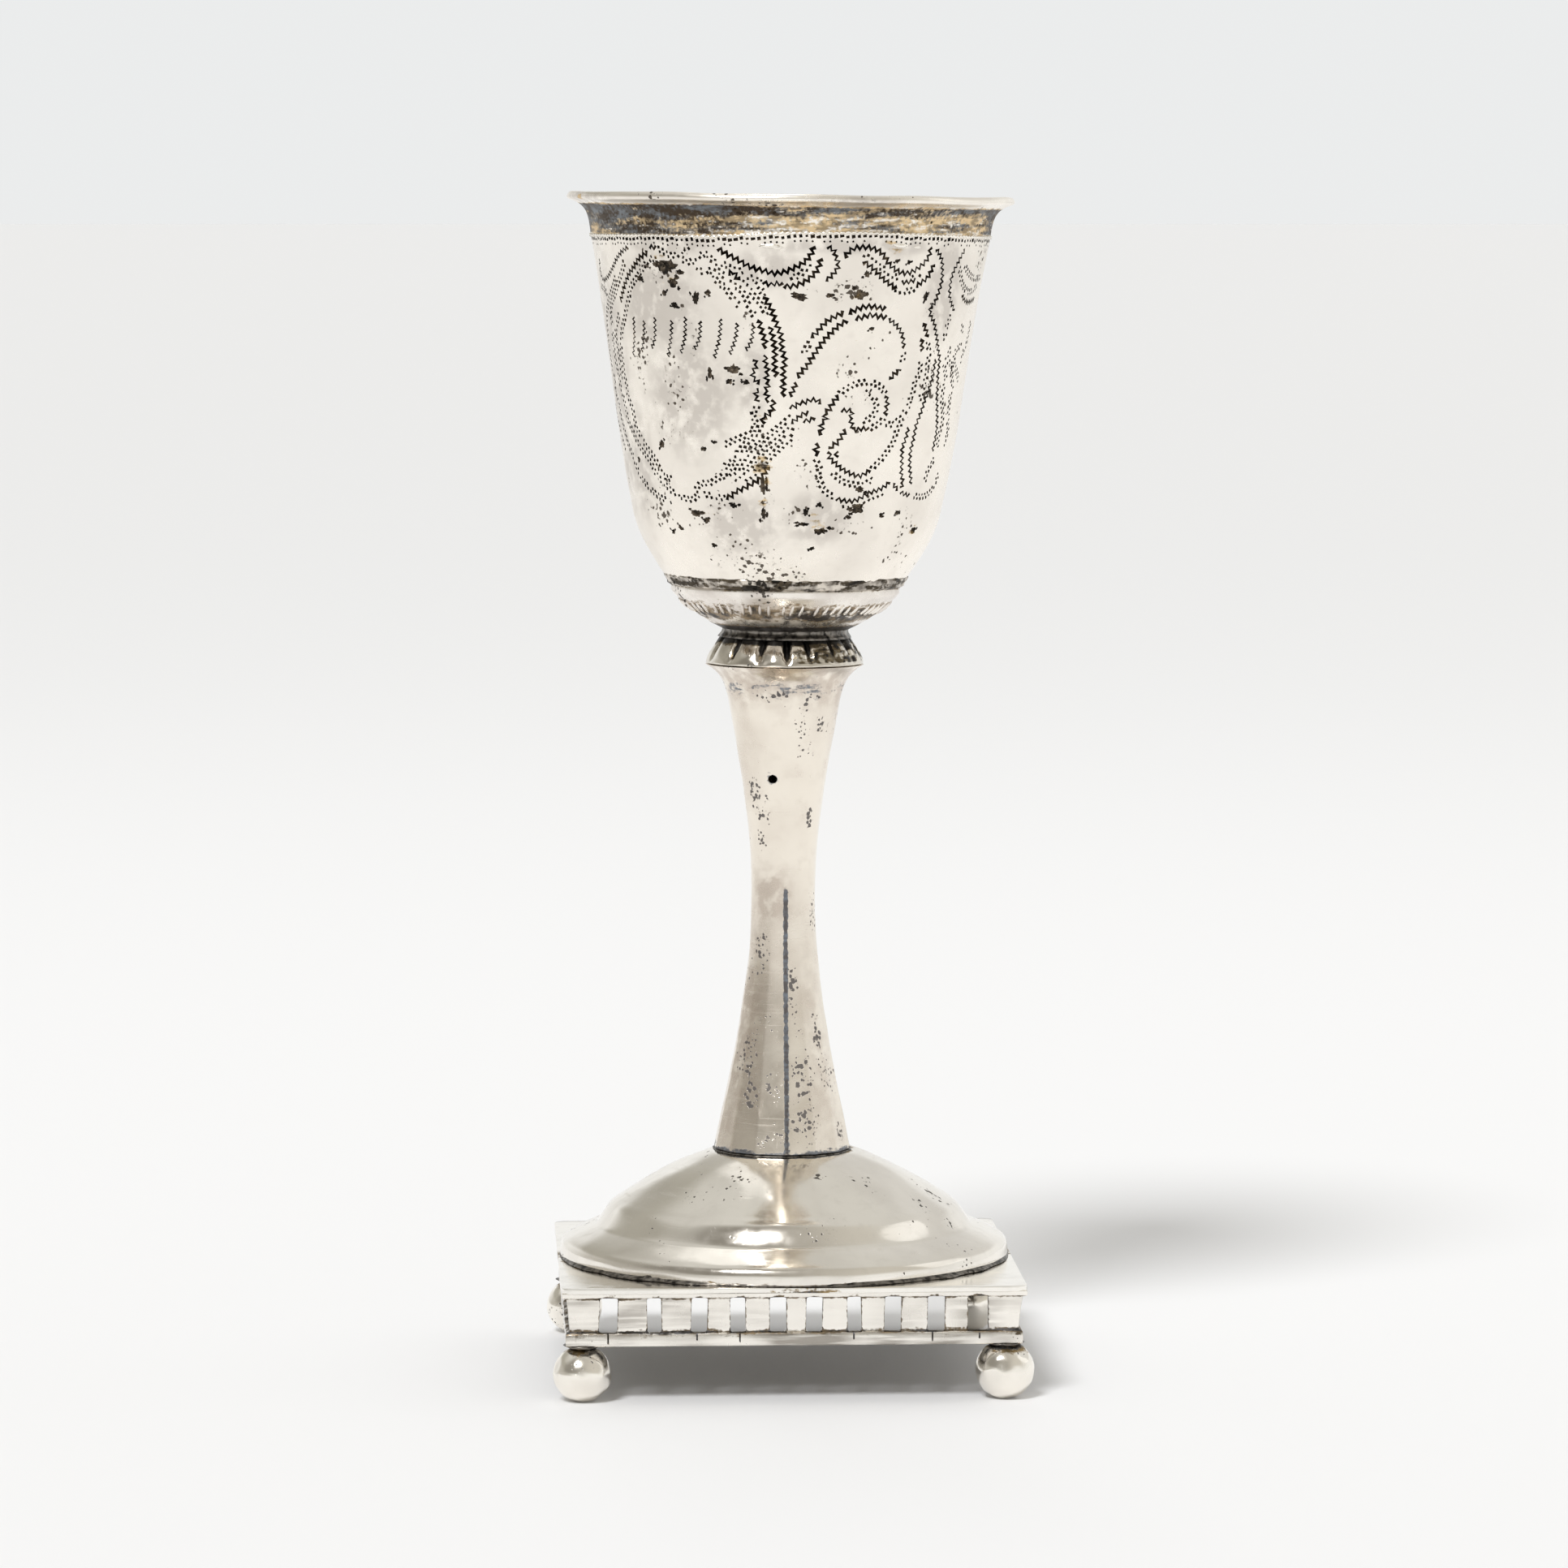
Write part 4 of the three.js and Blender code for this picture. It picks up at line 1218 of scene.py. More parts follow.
# Lines that the graver cut as one heavy wave.
heavy_lines = {
    "wreath_left": [(797, 311), (790, 316), (785, 321), (781, 328), (775, 336), (772, 342),
        (768, 353), (766, 362), (764, 372)],
    "wreath_blot": [(897, 338), (903, 335), (908, 342), (912, 347)],
    "wreath_outer": [(942, 366), (945, 373), (950, 380), (952, 387), (955, 395), (958, 403),
        (962, 412), (963, 422), (963, 430), (966, 438), (967, 447), (965, 457), (966, 468),
        (964, 477), (966, 484), (964, 491)],
    "wreath_middle": [(944, 388), (948, 400), (951, 412), (954, 425), (955, 438), (954, 447),
        (955, 457), (957, 468), (957, 478)],
    "wreath_inner": [(935, 395), (937, 403), (940, 413), (943, 422), (941, 430)],
    "wreath_foot": [(953, 493), (952, 502), (949, 510), (942, 513), (940, 522)],
    "wreath_tail": [(895, 614), (902, 611), (908, 605), (917, 602), (925, 597), (933, 593),
        (940, 587), (945, 578), (949, 574)],
    "swag_left": [(870, 305), (878, 305), (887, 308), (895, 313), (903, 317), (912, 322),
        (920, 327), (930, 331), (942, 334), (953, 337), (962, 336), (970, 334), (983, 328),
        (990, 324), (997, 317), (1001, 310), (1003, 303)],
    "swag_left_low": [(966, 353), (975, 353), (983, 351), (992, 347), (1000, 341), (1007, 333),
        (1010, 325), (1012, 318)],
    "swag_right": [(1042, 317), (1047, 310), (1053, 306), (1062, 305), (1070, 305), (1078, 307),
        (1086, 311), (1091, 317), (1095, 324), (1101, 330), (1108, 335), (1117, 337), (1125, 335),
        (1133, 330), (1141, 323), (1146, 315), (1148, 304)],
    "swag_right_low": [(1065, 323), (1073, 328), (1081, 335), (1088, 343), (1097, 350), (1105, 356)],
    "swag_right_end": [(1130, 353), (1138, 347), (1145, 341), (1149, 332), (1152, 326)],
    "scroll_back": [(1000, 415), (1007, 410), (1013, 402), (1021, 395), (1030, 390), (1040, 385)],
    "scroll_top": [(1047, 386), (1057, 381), (1067, 378), (1077, 378), (1087, 380), (1093, 380)],
    "scroll_inner": [(983, 465), (988, 458), (995, 451), (1000, 442), (1007, 432), (1013, 423),
        (1020, 415), (1028, 407), (1036, 400), (1044, 396)],
    "scroll_inner_top": [(1055, 393), (1064, 391), (1073, 388), (1083, 390), (1093, 391)],
    "curl": [(1033, 488), (1026, 497), (1022, 505), (1016, 510), (1018, 517), (1012, 522),
        (1013, 530), (1009, 536)],
    "curl_foot": [(1008, 547), (1005, 556), (1008, 562)],
    "curl_loop": [(1042, 530), (1037, 538), (1033, 545), (1025, 550), (1022, 556)],
    "curl_spur": [(1107, 457), (1101, 462), (1097, 468)],
    "stalk_dash": [(1139, 399), (1142, 408), (1144, 418)],
    "stalk_dash_low": [(1136, 418), (1137, 427), (1136, 435)],
}
# Lines cut as a thinner wave.
fine_lines = {
    "arch_left": [(737, 320), (738, 333), (742, 345), (747, 342), (753, 331), (760, 317),
        (768, 308), (777, 304), (787, 303), (797, 304), (808, 305)],
    "wreath_inner_low": [(943, 438), (943, 447), (946, 457), (944, 466), (947, 474), (943, 482),
        (946, 490), (944, 498)],
    "wreath_field_edge": [(929, 443), (932, 450), (927, 460), (929, 467), (935, 472), (936, 478),
        (931, 484), (932, 491), (935, 498)],
    "swag_left_dots": [(940, 348), (950, 351), (958, 349), (966, 352)],
    "hook": [(1013, 303), (1022, 305), (1029, 310), (1030, 317), (1033, 323), (1033, 330),
        (1027, 338), (1022, 343), (1016, 347)],
    "swag_right_ties": [(1093, 340), (1103, 346), (1113, 348), (1123, 347), (1133, 342)],
    "stalk_1": [(1152, 303), (1158, 312), (1162, 322), (1162, 333), (1162, 343), (1160, 353),
        (1156, 365), (1153, 373), (1147, 380), (1148, 390), (1152, 398), (1154, 410), (1156, 421),
        (1157, 432), (1159, 444), (1157, 462), (1157, 474), (1156, 487), (1156, 498), (1156, 510),
        (1155, 533), (1152, 547), (1150, 558)],
    "stalk_2": [(1190, 308), (1185, 317), (1180, 327), (1175, 337), (1172, 350), (1171, 360),
        (1172, 370), (1176, 380), (1177, 386)],
    "stalk_3": [(1154, 443), (1151, 460), (1148, 473), (1144, 485), (1140, 495), (1137, 505),
        (1134, 513), (1130, 523), (1128, 533), (1126, 543), (1123, 555), (1122, 567), (1122, 578),
        (1123, 590), (1123, 600)],
    "stalk_4": [(1120, 527), (1117, 540), (1113, 550), (1112, 563), (1112, 573), (1111, 583),
        (1113, 595), (1110, 603)],
    "scroll_front": [(1093, 392), (1100, 397), (1107, 404), (1112, 413), (1113, 422), (1114, 432)],
    "scroll_foot": [(983, 465), (980, 475), (975, 486), (971, 494)],
    "leaf_upper": [(973, 502), (980, 501), (984, 497), (992, 496), (998, 493), (1006, 493),
        (1012, 497)],
    "leaf_lower": [(975, 521), (981, 517), (988, 511), (997, 508)],
    "leaf_low_tip": [(990, 519), (998, 518), (1006, 513)],
    "curl_bridge": [(1037, 506), (1045, 506), (1051, 507), (1048, 515), (1050, 523), (1053, 530),
        (1065, 528), (1073, 530)],
    "curl_ring_side": [(1092, 488), (1094, 497), (1092, 505), (1092, 512)],
    "curl_loop_low": [(1022, 557), (1023, 565), (1030, 571), (1036, 577), (1043, 581), (1051, 585),
        (1060, 587), (1067, 583), (1073, 579)],
    "curl_loop_left": [(1031, 553), (1031, 562), (1031, 570)],
    "curl_bottom": [(1031, 615), (1040, 617), (1048, 618), (1057, 616), (1065, 611), (1073, 607),
        (1082, 604), (1090, 600), (1097, 593)],
    "stalk_foot": [(1100, 594), (1107, 604), (1115, 609), (1123, 611)],
    "far_swag_low": [(1187, 364), (1191, 371), (1197, 372), (1203, 367)],
}
# Rows where the graver only nicked the silver at each swing.
notch_rows = {
    "arch_left_low": [(740, 352), (745, 358), (748, 367)],
    "arch_start": [(808, 305), (815, 309), (824, 314), (833, 314), (840, 308)],
    "left_row_1": [(807, 320), (800, 319), (793, 328), (787, 337), (778, 350), (775, 357),
        (774, 367), (772, 375), (770, 387), (768, 397), (766, 405), (765, 421), (765, 435),
        (767, 447), (768, 460), (771, 473), (773, 488), (778, 502), (780, 513), (783, 527),
        (787, 535), (793, 547), (800, 557), (807, 567), (813, 581), (819, 588), (827, 590)],
    "left_row_2": [(768, 323), (765, 335), (760, 350), (757, 362), (753, 373), (752, 387),
        (753, 400), (754, 413), (756, 430), (758, 447), (761, 460), (763, 472), (766, 484),
        (769, 496), (771, 507), (773, 518), (778, 530), (783, 542), (788, 552), (795, 562),
        (802, 572), (806, 582), (812, 590), (820, 598), (828, 606), (836, 608)],
    "left_row_3": [(762, 388), (759, 400), (758, 413), (760, 425), (762, 438), (764, 452),
        (765, 466)],
    "left_row_4": [(757, 342), (752, 360), (748, 376), (747, 392), (748, 410), (750, 430),
        (753, 450), (757, 470), (758, 483), (762, 497), (764, 510), (767, 523), (770, 537),
        (773, 548), (778, 560), (782, 573), (788, 587), (795, 597), (803, 605), (812, 612),
        (820, 616), (827, 617)],
    "left_row_5": [(757, 498), (760, 512), (763, 526), (766, 540), (770, 554)],
    "low_row_1": [(857, 605), (863, 596), (875, 595), (883, 590), (890, 587), (897, 588)],
    "low_row_2": [(835, 608), (843, 614), (853, 615), (862, 609), (873, 610), (887, 613),
        (895, 614)],
    "tail_row_1": [(893, 586), (900, 582), (907, 580), (913, 570), (920, 560), (926, 553),
        (935, 548), (942, 540), (950, 534), (960, 526), (968, 519), (975, 513)],
    "tail_row_2": [(905, 590), (912, 585), (917, 580), (925, 574), (931, 566), (937, 560),
        (944, 553), (953, 546), (960, 540), (968, 533), (975, 527)],
    "tail_row_3": [(918, 590), (925, 586), (931, 582), (938, 573), (946, 566), (955, 557),
        (963, 550), (970, 543), (978, 537)],
    "tail_row_0": [(893, 576), (898, 570), (906, 570), (909, 560), (914, 552), (920, 545),
        (927, 540), (933, 531), (938, 522)],
    "tail_row_00": [(893, 548), (903, 543), (915, 538), (927, 533), (933, 527)],
    "field_edge": [(935, 498), (930, 505), (928, 512), (930, 518), (932, 523), (927, 531)],
    "top_row_1": [(842, 306), (850, 303), (858, 302), (866, 304)],
    "top_row_2": [(838, 316), (845, 323), (852, 322), (859, 323)],
    "top_row_3": [(861, 315), (870, 313), (877, 320), (883, 324), (893, 326), (901, 331),
        (908, 333), (917, 334)],
    "top_row_4": [(860, 330), (865, 335), (873, 333), (879, 337), (882, 345), (887, 351),
        (893, 353), (897, 360), (902, 367), (907, 372), (910, 378)],
    "top_row_5": [(882, 331), (890, 338), (897, 347), (905, 352), (912, 357), (918, 365),
        (922, 376), (927, 383), (929, 391)],
    "top_row_6": [(912, 345), (918, 352), (924, 358), (930, 366), (936, 373), (941, 380),
        (943, 387)],
    "top_row_7": [(922, 341), (932, 345), (937, 355), (940, 365)],
    "top_row_8": [(917, 334), (927, 339), (935, 347), (943, 350)],
    "swag_left_ties": [(975, 341), (984, 340), (993, 331), (999, 320)],
    "swag_right_mid": [(1067, 314), (1073, 320), (1082, 327), (1092, 333), (1100, 339), (1108, 342),
        (1117, 344), (1125, 343), (1132, 339), (1136, 334)],
    "swag_right_low_dots": [(1105, 356), (1113, 359), (1122, 358), (1128, 355)],
    "scroll_back_tail": [(998, 423), (993, 430), (990, 437)],
    "scroll_front_low": [(1114, 432), (1113, 442), (1110, 450), (1107, 457)],
    "curl_top": [(1033, 487), (1037, 483), (1043, 479), (1050, 475), (1058, 472), (1068, 471),
        (1077, 472), (1084, 476), (1089, 481), (1091, 487)],
    "curl_right_low": [(1091, 513), (1086, 519), (1080, 524), (1073, 528)],
    "curl_inner": [(1070, 480), (1076, 488), (1080, 497), (1080, 504), (1077, 511), (1070, 517),
        (1062, 519)],
    "curl_left_low": [(1006, 567), (1010, 577), (1008, 585), (1011, 593), (1014, 602), (1020, 608),
        (1028, 613)],
    "loop_right": [(1073, 580), (1082, 570), (1088, 564), (1093, 557), (1098, 550), (1102, 542),
        (1105, 532), (1110, 522), (1112, 511)],
    "loop_under": [(1027, 583), (1032, 588), (1037, 592), (1043, 595), (1053, 597), (1063, 598),
        (1070, 594), (1077, 590)],
    "bottom_second": [(1040, 622), (1048, 623), (1057, 621), (1065, 617), (1073, 613), (1083, 609),
        (1092, 605)],
    "loop_upper_right": [(1093, 522), (1100, 523), (1107, 517), (1112, 510), (1118, 505)],
    "stalk_row_1": [(1144, 422), (1146, 435), (1144, 447), (1143, 460), (1140, 472), (1137, 484),
        (1133, 495)],
    "stalk_row_2": [(1173, 390), (1168, 400), (1167, 410), (1163, 418)],
    "stalk_row_3": [(1165, 450), (1167, 465), (1164, 480), (1162, 495), (1163, 510), (1162, 523),
        (1158, 537), (1156, 551)],
    "stalk_row_4": [(1173, 430), (1168, 442), (1175, 452), (1174, 464), (1175, 475), (1172, 490),
        (1170, 507), (1169, 520), (1169, 533), (1164, 548)],
    "stalk_row_5": [(1188, 400), (1187, 413), (1185, 425), (1179, 433), (1177, 447), (1180, 458),
        (1182, 470)],
    "stalk_row_6": [(1198, 397), (1195, 413), (1192, 425), (1188, 435), (1186, 447)],
    "stalk_row_7": [(1135, 447), (1134, 460), (1128, 470), (1126, 482), (1122, 492), (1119, 505)],
    "stalk_foot_row": [(1128, 611), (1135, 612), (1143, 610), (1150, 603), (1155, 592), (1158, 583)],
    "right_low_row": [(1152, 566), (1147, 575), (1143, 584), (1141, 594)],
    "far_swag_1": [(1183, 328), (1185, 337), (1186, 347), (1190, 355), (1195, 360), (1201, 357),
        (1206, 351)],
    "far_swag_2": [(1191, 328), (1194, 335), (1199, 341), (1205, 343), (1210, 341)],
}
for lines in (heavy_lines, fine_lines, notch_rows):
    for name, line in lines.items():
        lines[name] = [seen_at(*pixel) for pixel in line]

# From here lines are (bearing in degrees round from the front, height over the seat) points.
# Round the back the same hand goes on more plainly, in six swags with three long scrolls below.
border_front = [(738, 294), (800, 294), (870, 296), (960, 292), (1060, 291), (1150, 295), (1208, 297)]
border_front = [seen_at(*pixel) for pixel in border_front]
border_front.append((border_front[0][0] + 360, border_front[0][1]))


def border_level(bearing):
    """Height of the border, which wanders round the bowl."""
    bearing = (bearing - border_front[0][0]) % 360 + border_front[0][0]
    for (b0, z0), (b1, z1) in zip(border_front, border_front[1:]):
        if bearing <= b1:
            return z0 + (z1 - z0) * (bearing - b0) / (b1 - b0)


for n, start in enumerate((92, 118, 144, 170, 196, 222)):
    heavy_lines[f"back_swag_{n}"] = [
        (start, 42.6), (start + 5, 40.4), (start + 13, 39.0), (start + 21, 40.4), (start + 25, 42.6),
    ]
    notch_rows[f"back_swag_low_{n}"] = [
        (start + 1, 40.4), (start + 6, 38.6), (start + 13, 37.6), (start + 20, 38.6),
        (start + 24, 40.4),
    ]
for n, middle in enumerate((112, 180, 248)):
    heavy_lines[f"back_scroll_{n}"] = [
        (middle - 22, 18.0), (middle - 16, 24.0), (middle - 6, 29.4), (middle + 6, 31.4),
        (middle + 16, 29.6), (middle + 20, 25.6), (middle + 16, 22.0), (middle + 9, 21.8),
    ]
    notch_rows[f"back_scroll_in_{n}"] = [
        (middle - 18, 17.4), (middle - 12, 22.6), (middle - 4, 27.4), (middle + 6, 29.6),
        (middle + 13, 28.2), (middle + 16, 25.6), (middle + 13, 23.8),
    ]
    notch_rows[f"back_scroll_out_{n}"] = [
        (middle - 20, 15.6), (middle - 8, 14.0), (middle + 6, 14.4), (middle + 18, 17.6),
        (middle + 25, 22.6),
    ]

# The field of the wreath carries a row of nine slanting strokes, in threes.
field_left = -61.0
field_step = 5.2
field_space = 1.6
field_strokes = []
for n in range(9):
    left = field_left + field_step * n + field_space * (n > 2) + field_space * (n > 5)
    field_strokes.append([
        (left, 28.9 + 0.5 * (n % 3)), (left + 1.8, 31.2), (left + 2.6, 34.0 - 0.5 * (n % 2)),
    ])

heavy_cut = 0.28
fine_cut = 0.235
stroke_cut = 0.19
cut_lift = 0.09
nick_lift = 0.05


def smooth_path(points, spacing):
    """Even steps along a smooth line through (bearing, height) points, in mm along the surface."""
    flat = [Vector((math.radians(b) * side_radius(z), z, 0)) for b, z in points]
    bearings = [b for b, _ in points]
    ends = [2 * flat[0] - flat[1]] + flat + [2 * flat[-1] - flat[-2]]
    fine = []
    for i in range(1, len(ends) - 2):
        handle = (ends[i + 1] - ends[i - 1]) / 6
        next_handle = (ends[i + 2] - ends[i]) / 6
        b0, b1 = bearings[i - 1], bearings[i]
        h0 = Vector(((bearings[i] - bearings[max(i - 2, 0)]) / 6, handle.y, 0))
        h1 = Vector(((bearings[min(i + 1, len(bearings) - 1)] - b0) / 6, next_handle.y, 0))
        p0, p1 = Vector((b0, ends[i].y, 0)), Vector((b1, ends[i + 1].y, 0))
        fine += interpolate_bezier(p0, p0 + h0, p1 - h1, p1, 24)[:-1]
    fine.append(Vector((bearings[-1], ends[-2].y, 0)))
    walked = [fine[0]]
    left = spacing
    for here, there in zip(fine, fine[1:]):
        scale = math.radians(1) * side_radius(here.y)
        step = math.hypot((there.x - here.x) * scale, there.y - here.y)
        gone = 0.0
        while step - gone >= left:
            gone += left
            walked.append(here.lerp(there, gone / step))
            left = spacing
        left -= step - gone
    return walked


def on_skin(bearing, z, lift):
    """The place a little over the dented skin of the bowl, at a bearing and height."""
    turned_by = math.radians(bearing)
    radius = side_radius(z) + dents(bearing, z) * min(1.0, z / 3) + lift
    return Vector((math.sin(turned_by) * radius, -math.cos(turned_by) * radius, z))


def teeth(points, pitch, swing):
    """The turning points of a rocked line, with the direction the line runs in."""
    path = smooth_path(points, pitch / 2)
    marks = []
    for i, here in enumerate(path):
        before, after = path[max(i - 1, 0)], path[min(i + 1, len(path) - 1)]
        scale = math.radians(1) * side_radius(here.y)
        along = Vector(((after.x - before.x) * scale, after.y - before.y)).normalized()
        swung = swing if i % 2 else -swing
        bearing = here.x - along.y * swung / scale
        marks.append((bearing, here.y + along.x * swung, along))
    return marks


graver = bpy.data.curves.new("graver", "CURVE")
graver.dimensions = "3D"
graver.bevel_depth = 1.0
graver.bevel_resolution = 1
graver.use_fill_caps = True
taken = {}
cut_room = 0.42


def cell_of(place):
    return tuple(int(math.floor(c)) for c in place)


def is_free(place, room):
    """Whether no cut lies closer to a place than the room it needs, so that cuts never cross."""
    x, y, z = cell_of(place)
    for cell in product((x - 1, x, x + 1), (y - 1, y, y + 1), (z - 1, z, z + 1)):
        if any((place - other).length < room for other in taken.get(cell, ())):
            return False
    return True


def take(place):
    taken.setdefault(cell_of(place), []).append(place)


def cut_stroke(places, widths):
    """One cut of the graver through some places, with its half width at each."""
    spline = graver.splines.new("POLY")
    spline.points.add(len(places) - 1)
    for point, place, width in zip(spline.points, places, widths):
        point.co = (*place, 1.0)
        point.radius = width


def zigzag(points, width, pitch, swing, dice=random.Random(5)):
    """A rocked line, broken off where it would run into another."""
    chains = [[]]
    for bearing, z, _ in teeth(points, pitch, swing):
        place = on_skin(bearing, z, cut_lift)
        if is_free(place, cut_room):
            chains[-1].append(place)
        else:
            chains.append([])
    for chain in chains:
        if len(chain) > 1:
            cut_stroke(chain, [width * dice.uniform(0.8, 1.25) for _ in chain])
            for here, there in zip(chain, chain[1:]):
                take(here)
                take((here + there) / 2)
            take(chain[-1])


def notches(points, width, pitch, swing, length, slant=0.72, dice=random.Random(6)):
    """A row of short slanting nicks, one at each swing of the graver, with a few left out."""
    for bearing, z, along in teeth(points, pitch, swing):
        place = on_skin(bearing, z, nick_lift)
        if dice.random() < 0.04 or not is_free(place, cut_room):
            continue
        take(place)
        aim = along.x * slant - along.y * (1 - slant), along.y * slant + along.x * (1 - slant)
        reach = length * dice.uniform(0.3, 0.5)
        scale = math.radians(1) * side_radius(z)
        ends = [
            on_skin(bearing + side * aim[0] * reach / scale, z + side * aim[1] * reach, nick_lift)
            for side in (-1, 1)
        ]
        broad = width * dice.uniform(0.75, 1.2)
        cut_stroke(ends, [broad, broad * 0.85])


border_teeth = 216
dash_length = 0.58
dash_width = 0.22
dice = random.Random(12)
for n in range(border_teeth):
    bearing = -180 + 360 / border_teeth * n
    half = dash_length * dice.uniform(0.55, 1.15)
    level = border_level(bearing) + dice.uniform(-0.12, 0.12)
    dash = [on_skin(bearing + side * half, level + 0.04 * side, 0.06) for side in (-1, 1)]
    cut_stroke(dash, [dash_width * dice.uniform(0.7, 1.25) for _ in dash])
    for place in dash:
        take(place)
    if dice.random() < 0.7:
        below = level - 0.62
        nick = [on_skin(bearing + side * 0.25, below + 0.05 * side, nick_lift) for side in (-1, 1)]
        cut_stroke(nick, [0.14, 0.15])
        take(nick[0])
for points in heavy_lines.values():
    zigzag(points, heavy_cut, pitch=0.78, swing=0.27)
for points in fine_lines.values():
    zigzag(points, fine_cut, pitch=0.72, swing=0.24)
for points in field_strokes:
    zigzag(points, stroke_cut, pitch=0.62, swing=0.2)
for points in notch_rows.values():
    notches(points, fine_cut, pitch=0.70, swing=0.25, length=0.52)

graver_object = bpy.data.objects.new("graver", graver)
bpy.context.scene.collection.objects.link(graver_object)
bpy.context.view_layer.update()
seen = graver_object.evaluated_get(bpy.context.evaluated_depsgraph_get())
cuts_mesh = bpy.data.meshes.new_from_object(seen)
bpy.data.objects.remove(graver_object)
bm = bmesh.new()
bm.from_mesh(cuts_mesh)
bmesh.ops.remove_doubles(bm, verts=bm.verts[:], dist=1e-4)
bmesh.ops.recalc_face_normals(bm, faces=bm.faces[:])
bm.to_mesh(cuts_mesh)
bm.free()
cuts_mesh.transform(bowl_place @ Matrix.Scale(mm, 4))
cuts_mesh.materials.clear()
cuts_mesh.materials.append(groove_black)
cuts = bpy.data.objects.new("engraved_cuts", cuts_mesh)
bpy.context.scene.collection.objects.link(cuts)

# Corroded pits with ragged edges, as the pixel at the middle of each, its width and its height
# in pixels, of which photo_scale make a millimetre. Those at the back, which the photo doesn't
# show, are (bearing, height, width across, width upright) in millimetres.
photo_scale = 9.7
pit_marks = {
    "brown_patch": (822, 328, 29, 19), "below_patch": (829, 348, 12, 12),
    "under_top": (788, 343, 10, 8), "speck_1": (818, 361, 7, 7), "speck_2": (831, 376, 9, 7),
    "streak_1": (856, 367, 9, 16), "speck_3": (872, 361, 7, 8), "grey_spot": (903, 455, 15, 11),
    "grey_spot_low": (874, 459, 6, 14), "speck_4": (898, 470, 8, 6), "speck_5": (919, 471, 8, 6),
    "star": (814, 547, 9, 9), "speck_6": (867, 553, 6, 5), "speck_7": (879, 545, 6, 4),
    "low_left": (857, 632, 15, 8), "low_left_2": (870, 641, 9, 7), "low_mid": (904, 623, 9, 7),
    "low_speck": (838, 650, 6, 8), "long_streak": (940, 600, 7, 30),
    "long_streak_low": (941, 634, 6, 16), "swag_spot": (986, 366, 14, 9),
    "swag_spot_2": (1023, 364, 9, 5), "green_spot": (1061, 363, 13, 14),
    "swag_spot_3": (1069, 338, 8, 8), "tie_spot": (1106, 322, 6, 5),
    "tie_spot_2": (1121, 323, 6, 6), "stalk_spot": (1142, 366, 6, 12),
    "scroll_spot": (1074, 405, 6, 5), "loop_spot": (1060, 603, 11, 8),
    "loop_low": (1057, 627, 18, 12), "loop_low_2": (1010, 622, 6, 6), "mid_spot": (993, 631, 6, 9),
    "mid_streak": (990, 646, 12, 5), "grey_smudge": (1012, 655, 13, 9),
    "right_speck": (1086, 635, 6, 6), "right_speck_2": (1106, 632, 7, 6),
    "right_spot": (1127, 654, 11, 11), "loop_speck": (1045, 637, 6, 5),
    "low_speck_2": (879, 672, 5, 8), "low_speck_3": (1000, 676, 7, 5),
    "seam_speck": (829, 655, 7, 6), "edge_speck": (786, 566, 5, 7),
}
pits = [
    (*seen_at(across, down), wide / photo_scale, tall / photo_scale)
    for across, down, wide, tall in pit_marks.values()
]
pits += [
    (96, 33.0, 1.3, 0.9), (118, 12.0, 1.1, 0.8), (141, 24.0, 0.8, 0.7), (163, 9.0, 1.4, 0.9),
    (188, 35.0, 1.0, 0.7), (207, 18.0, 0.7, 0.9), (226, 8.0, 1.2, 0.7), (251, 36.0, 1.0, 1.1),
]


def pit_lump(bm, bearing, z, across, upright):
    """A ragged lump set in the skin, which leaves a pit when it is cut out."""
    lump = bmesh.ops.create_icosphere(bm, subdivisions=3, radius=0.5)["verts"]
    for v in lump:
        ragged = 0.6 * noise.noise(v.co * 4.0 + Vector((bearing, z, 0)))
        v.co *= 1.05 + ragged + 0.5 * noise.noise(v.co * 11.0 + Vector((z, bearing, 0)))
    bmesh.ops.scale(bm, vec=(across, 0.36 + 0.12 * across, upright), verts=lump)
    set_in = Matrix.Translation(on_skin(bearing, z, 0.02)) @ turned(bearing, "Z")
    bmesh.ops.transform(bm, matrix=set_in, verts=lump)


# The lumps lie in three layers, cut out one after another, so that none meets its neighbour's.
pit_layers = [bmesh.new() for _ in range(3)]
dice = random.Random(9)
for n, (bearing, z, across, upright) in enumerate(pits):
    pit_lump(pit_layers[n % 3], bearing, z, across, upright)
    for beside in (1, 2):
        aside = dice.choice((-1, 1)) * dice.uniform(0.45, 0.75) * across
        aside /= math.radians(1) * side_radius(z)
        share = dice.uniform(0.3, 0.55)
        level = z + dice.uniform(-0.6, 0.6) * upright
        pit_lump(pit_layers[(n + beside) % 3], bearing + aside, level,
                 max(0.3, share * across), max(0.3, share * upright))
pit_layers = [finished(bm, "pit_lumps", bowl_place) for bm in pit_layers]
for lumps in pit_layers:
    lumps.data.materials.append(pit_crust)

form = bowl.copy()
form.data = bowl.data.copy()
bpy.context.scene.collection.objects.link(form)
carve(bowl, cuts)
for lumps in pit_layers:
    carve(bowl, lumps)


def shade_like(piece, form):
    """Smooth shading of the uncut form on the skin, which has the first finish of the piece, and
    the cuts' own facing in the cuts."""
    copy_shade = piece.modifiers.new("shade", "DATA_TRANSFER")
    copy_shade.object = form
    copy_shade.use_loop_data = True
    copy_shade.data_types_loops = {"CUSTOM_NORMAL"}
    copy_shade.loop_mapping = "POLYINTERP_NEAREST"
    bake(piece)
    mesh = piece.data
    normals = [Vector(n.vector) for n in mesh.corner_normals]
    for face in mesh.polygons:
        if face.material_index != 0:
            for corner in face.loop_indices:
                normals[corner] = face.normal.copy()
    mesh.normals_split_custom_set(normals)


shade_like(bowl, form)
bpy.data.objects.remove(form)

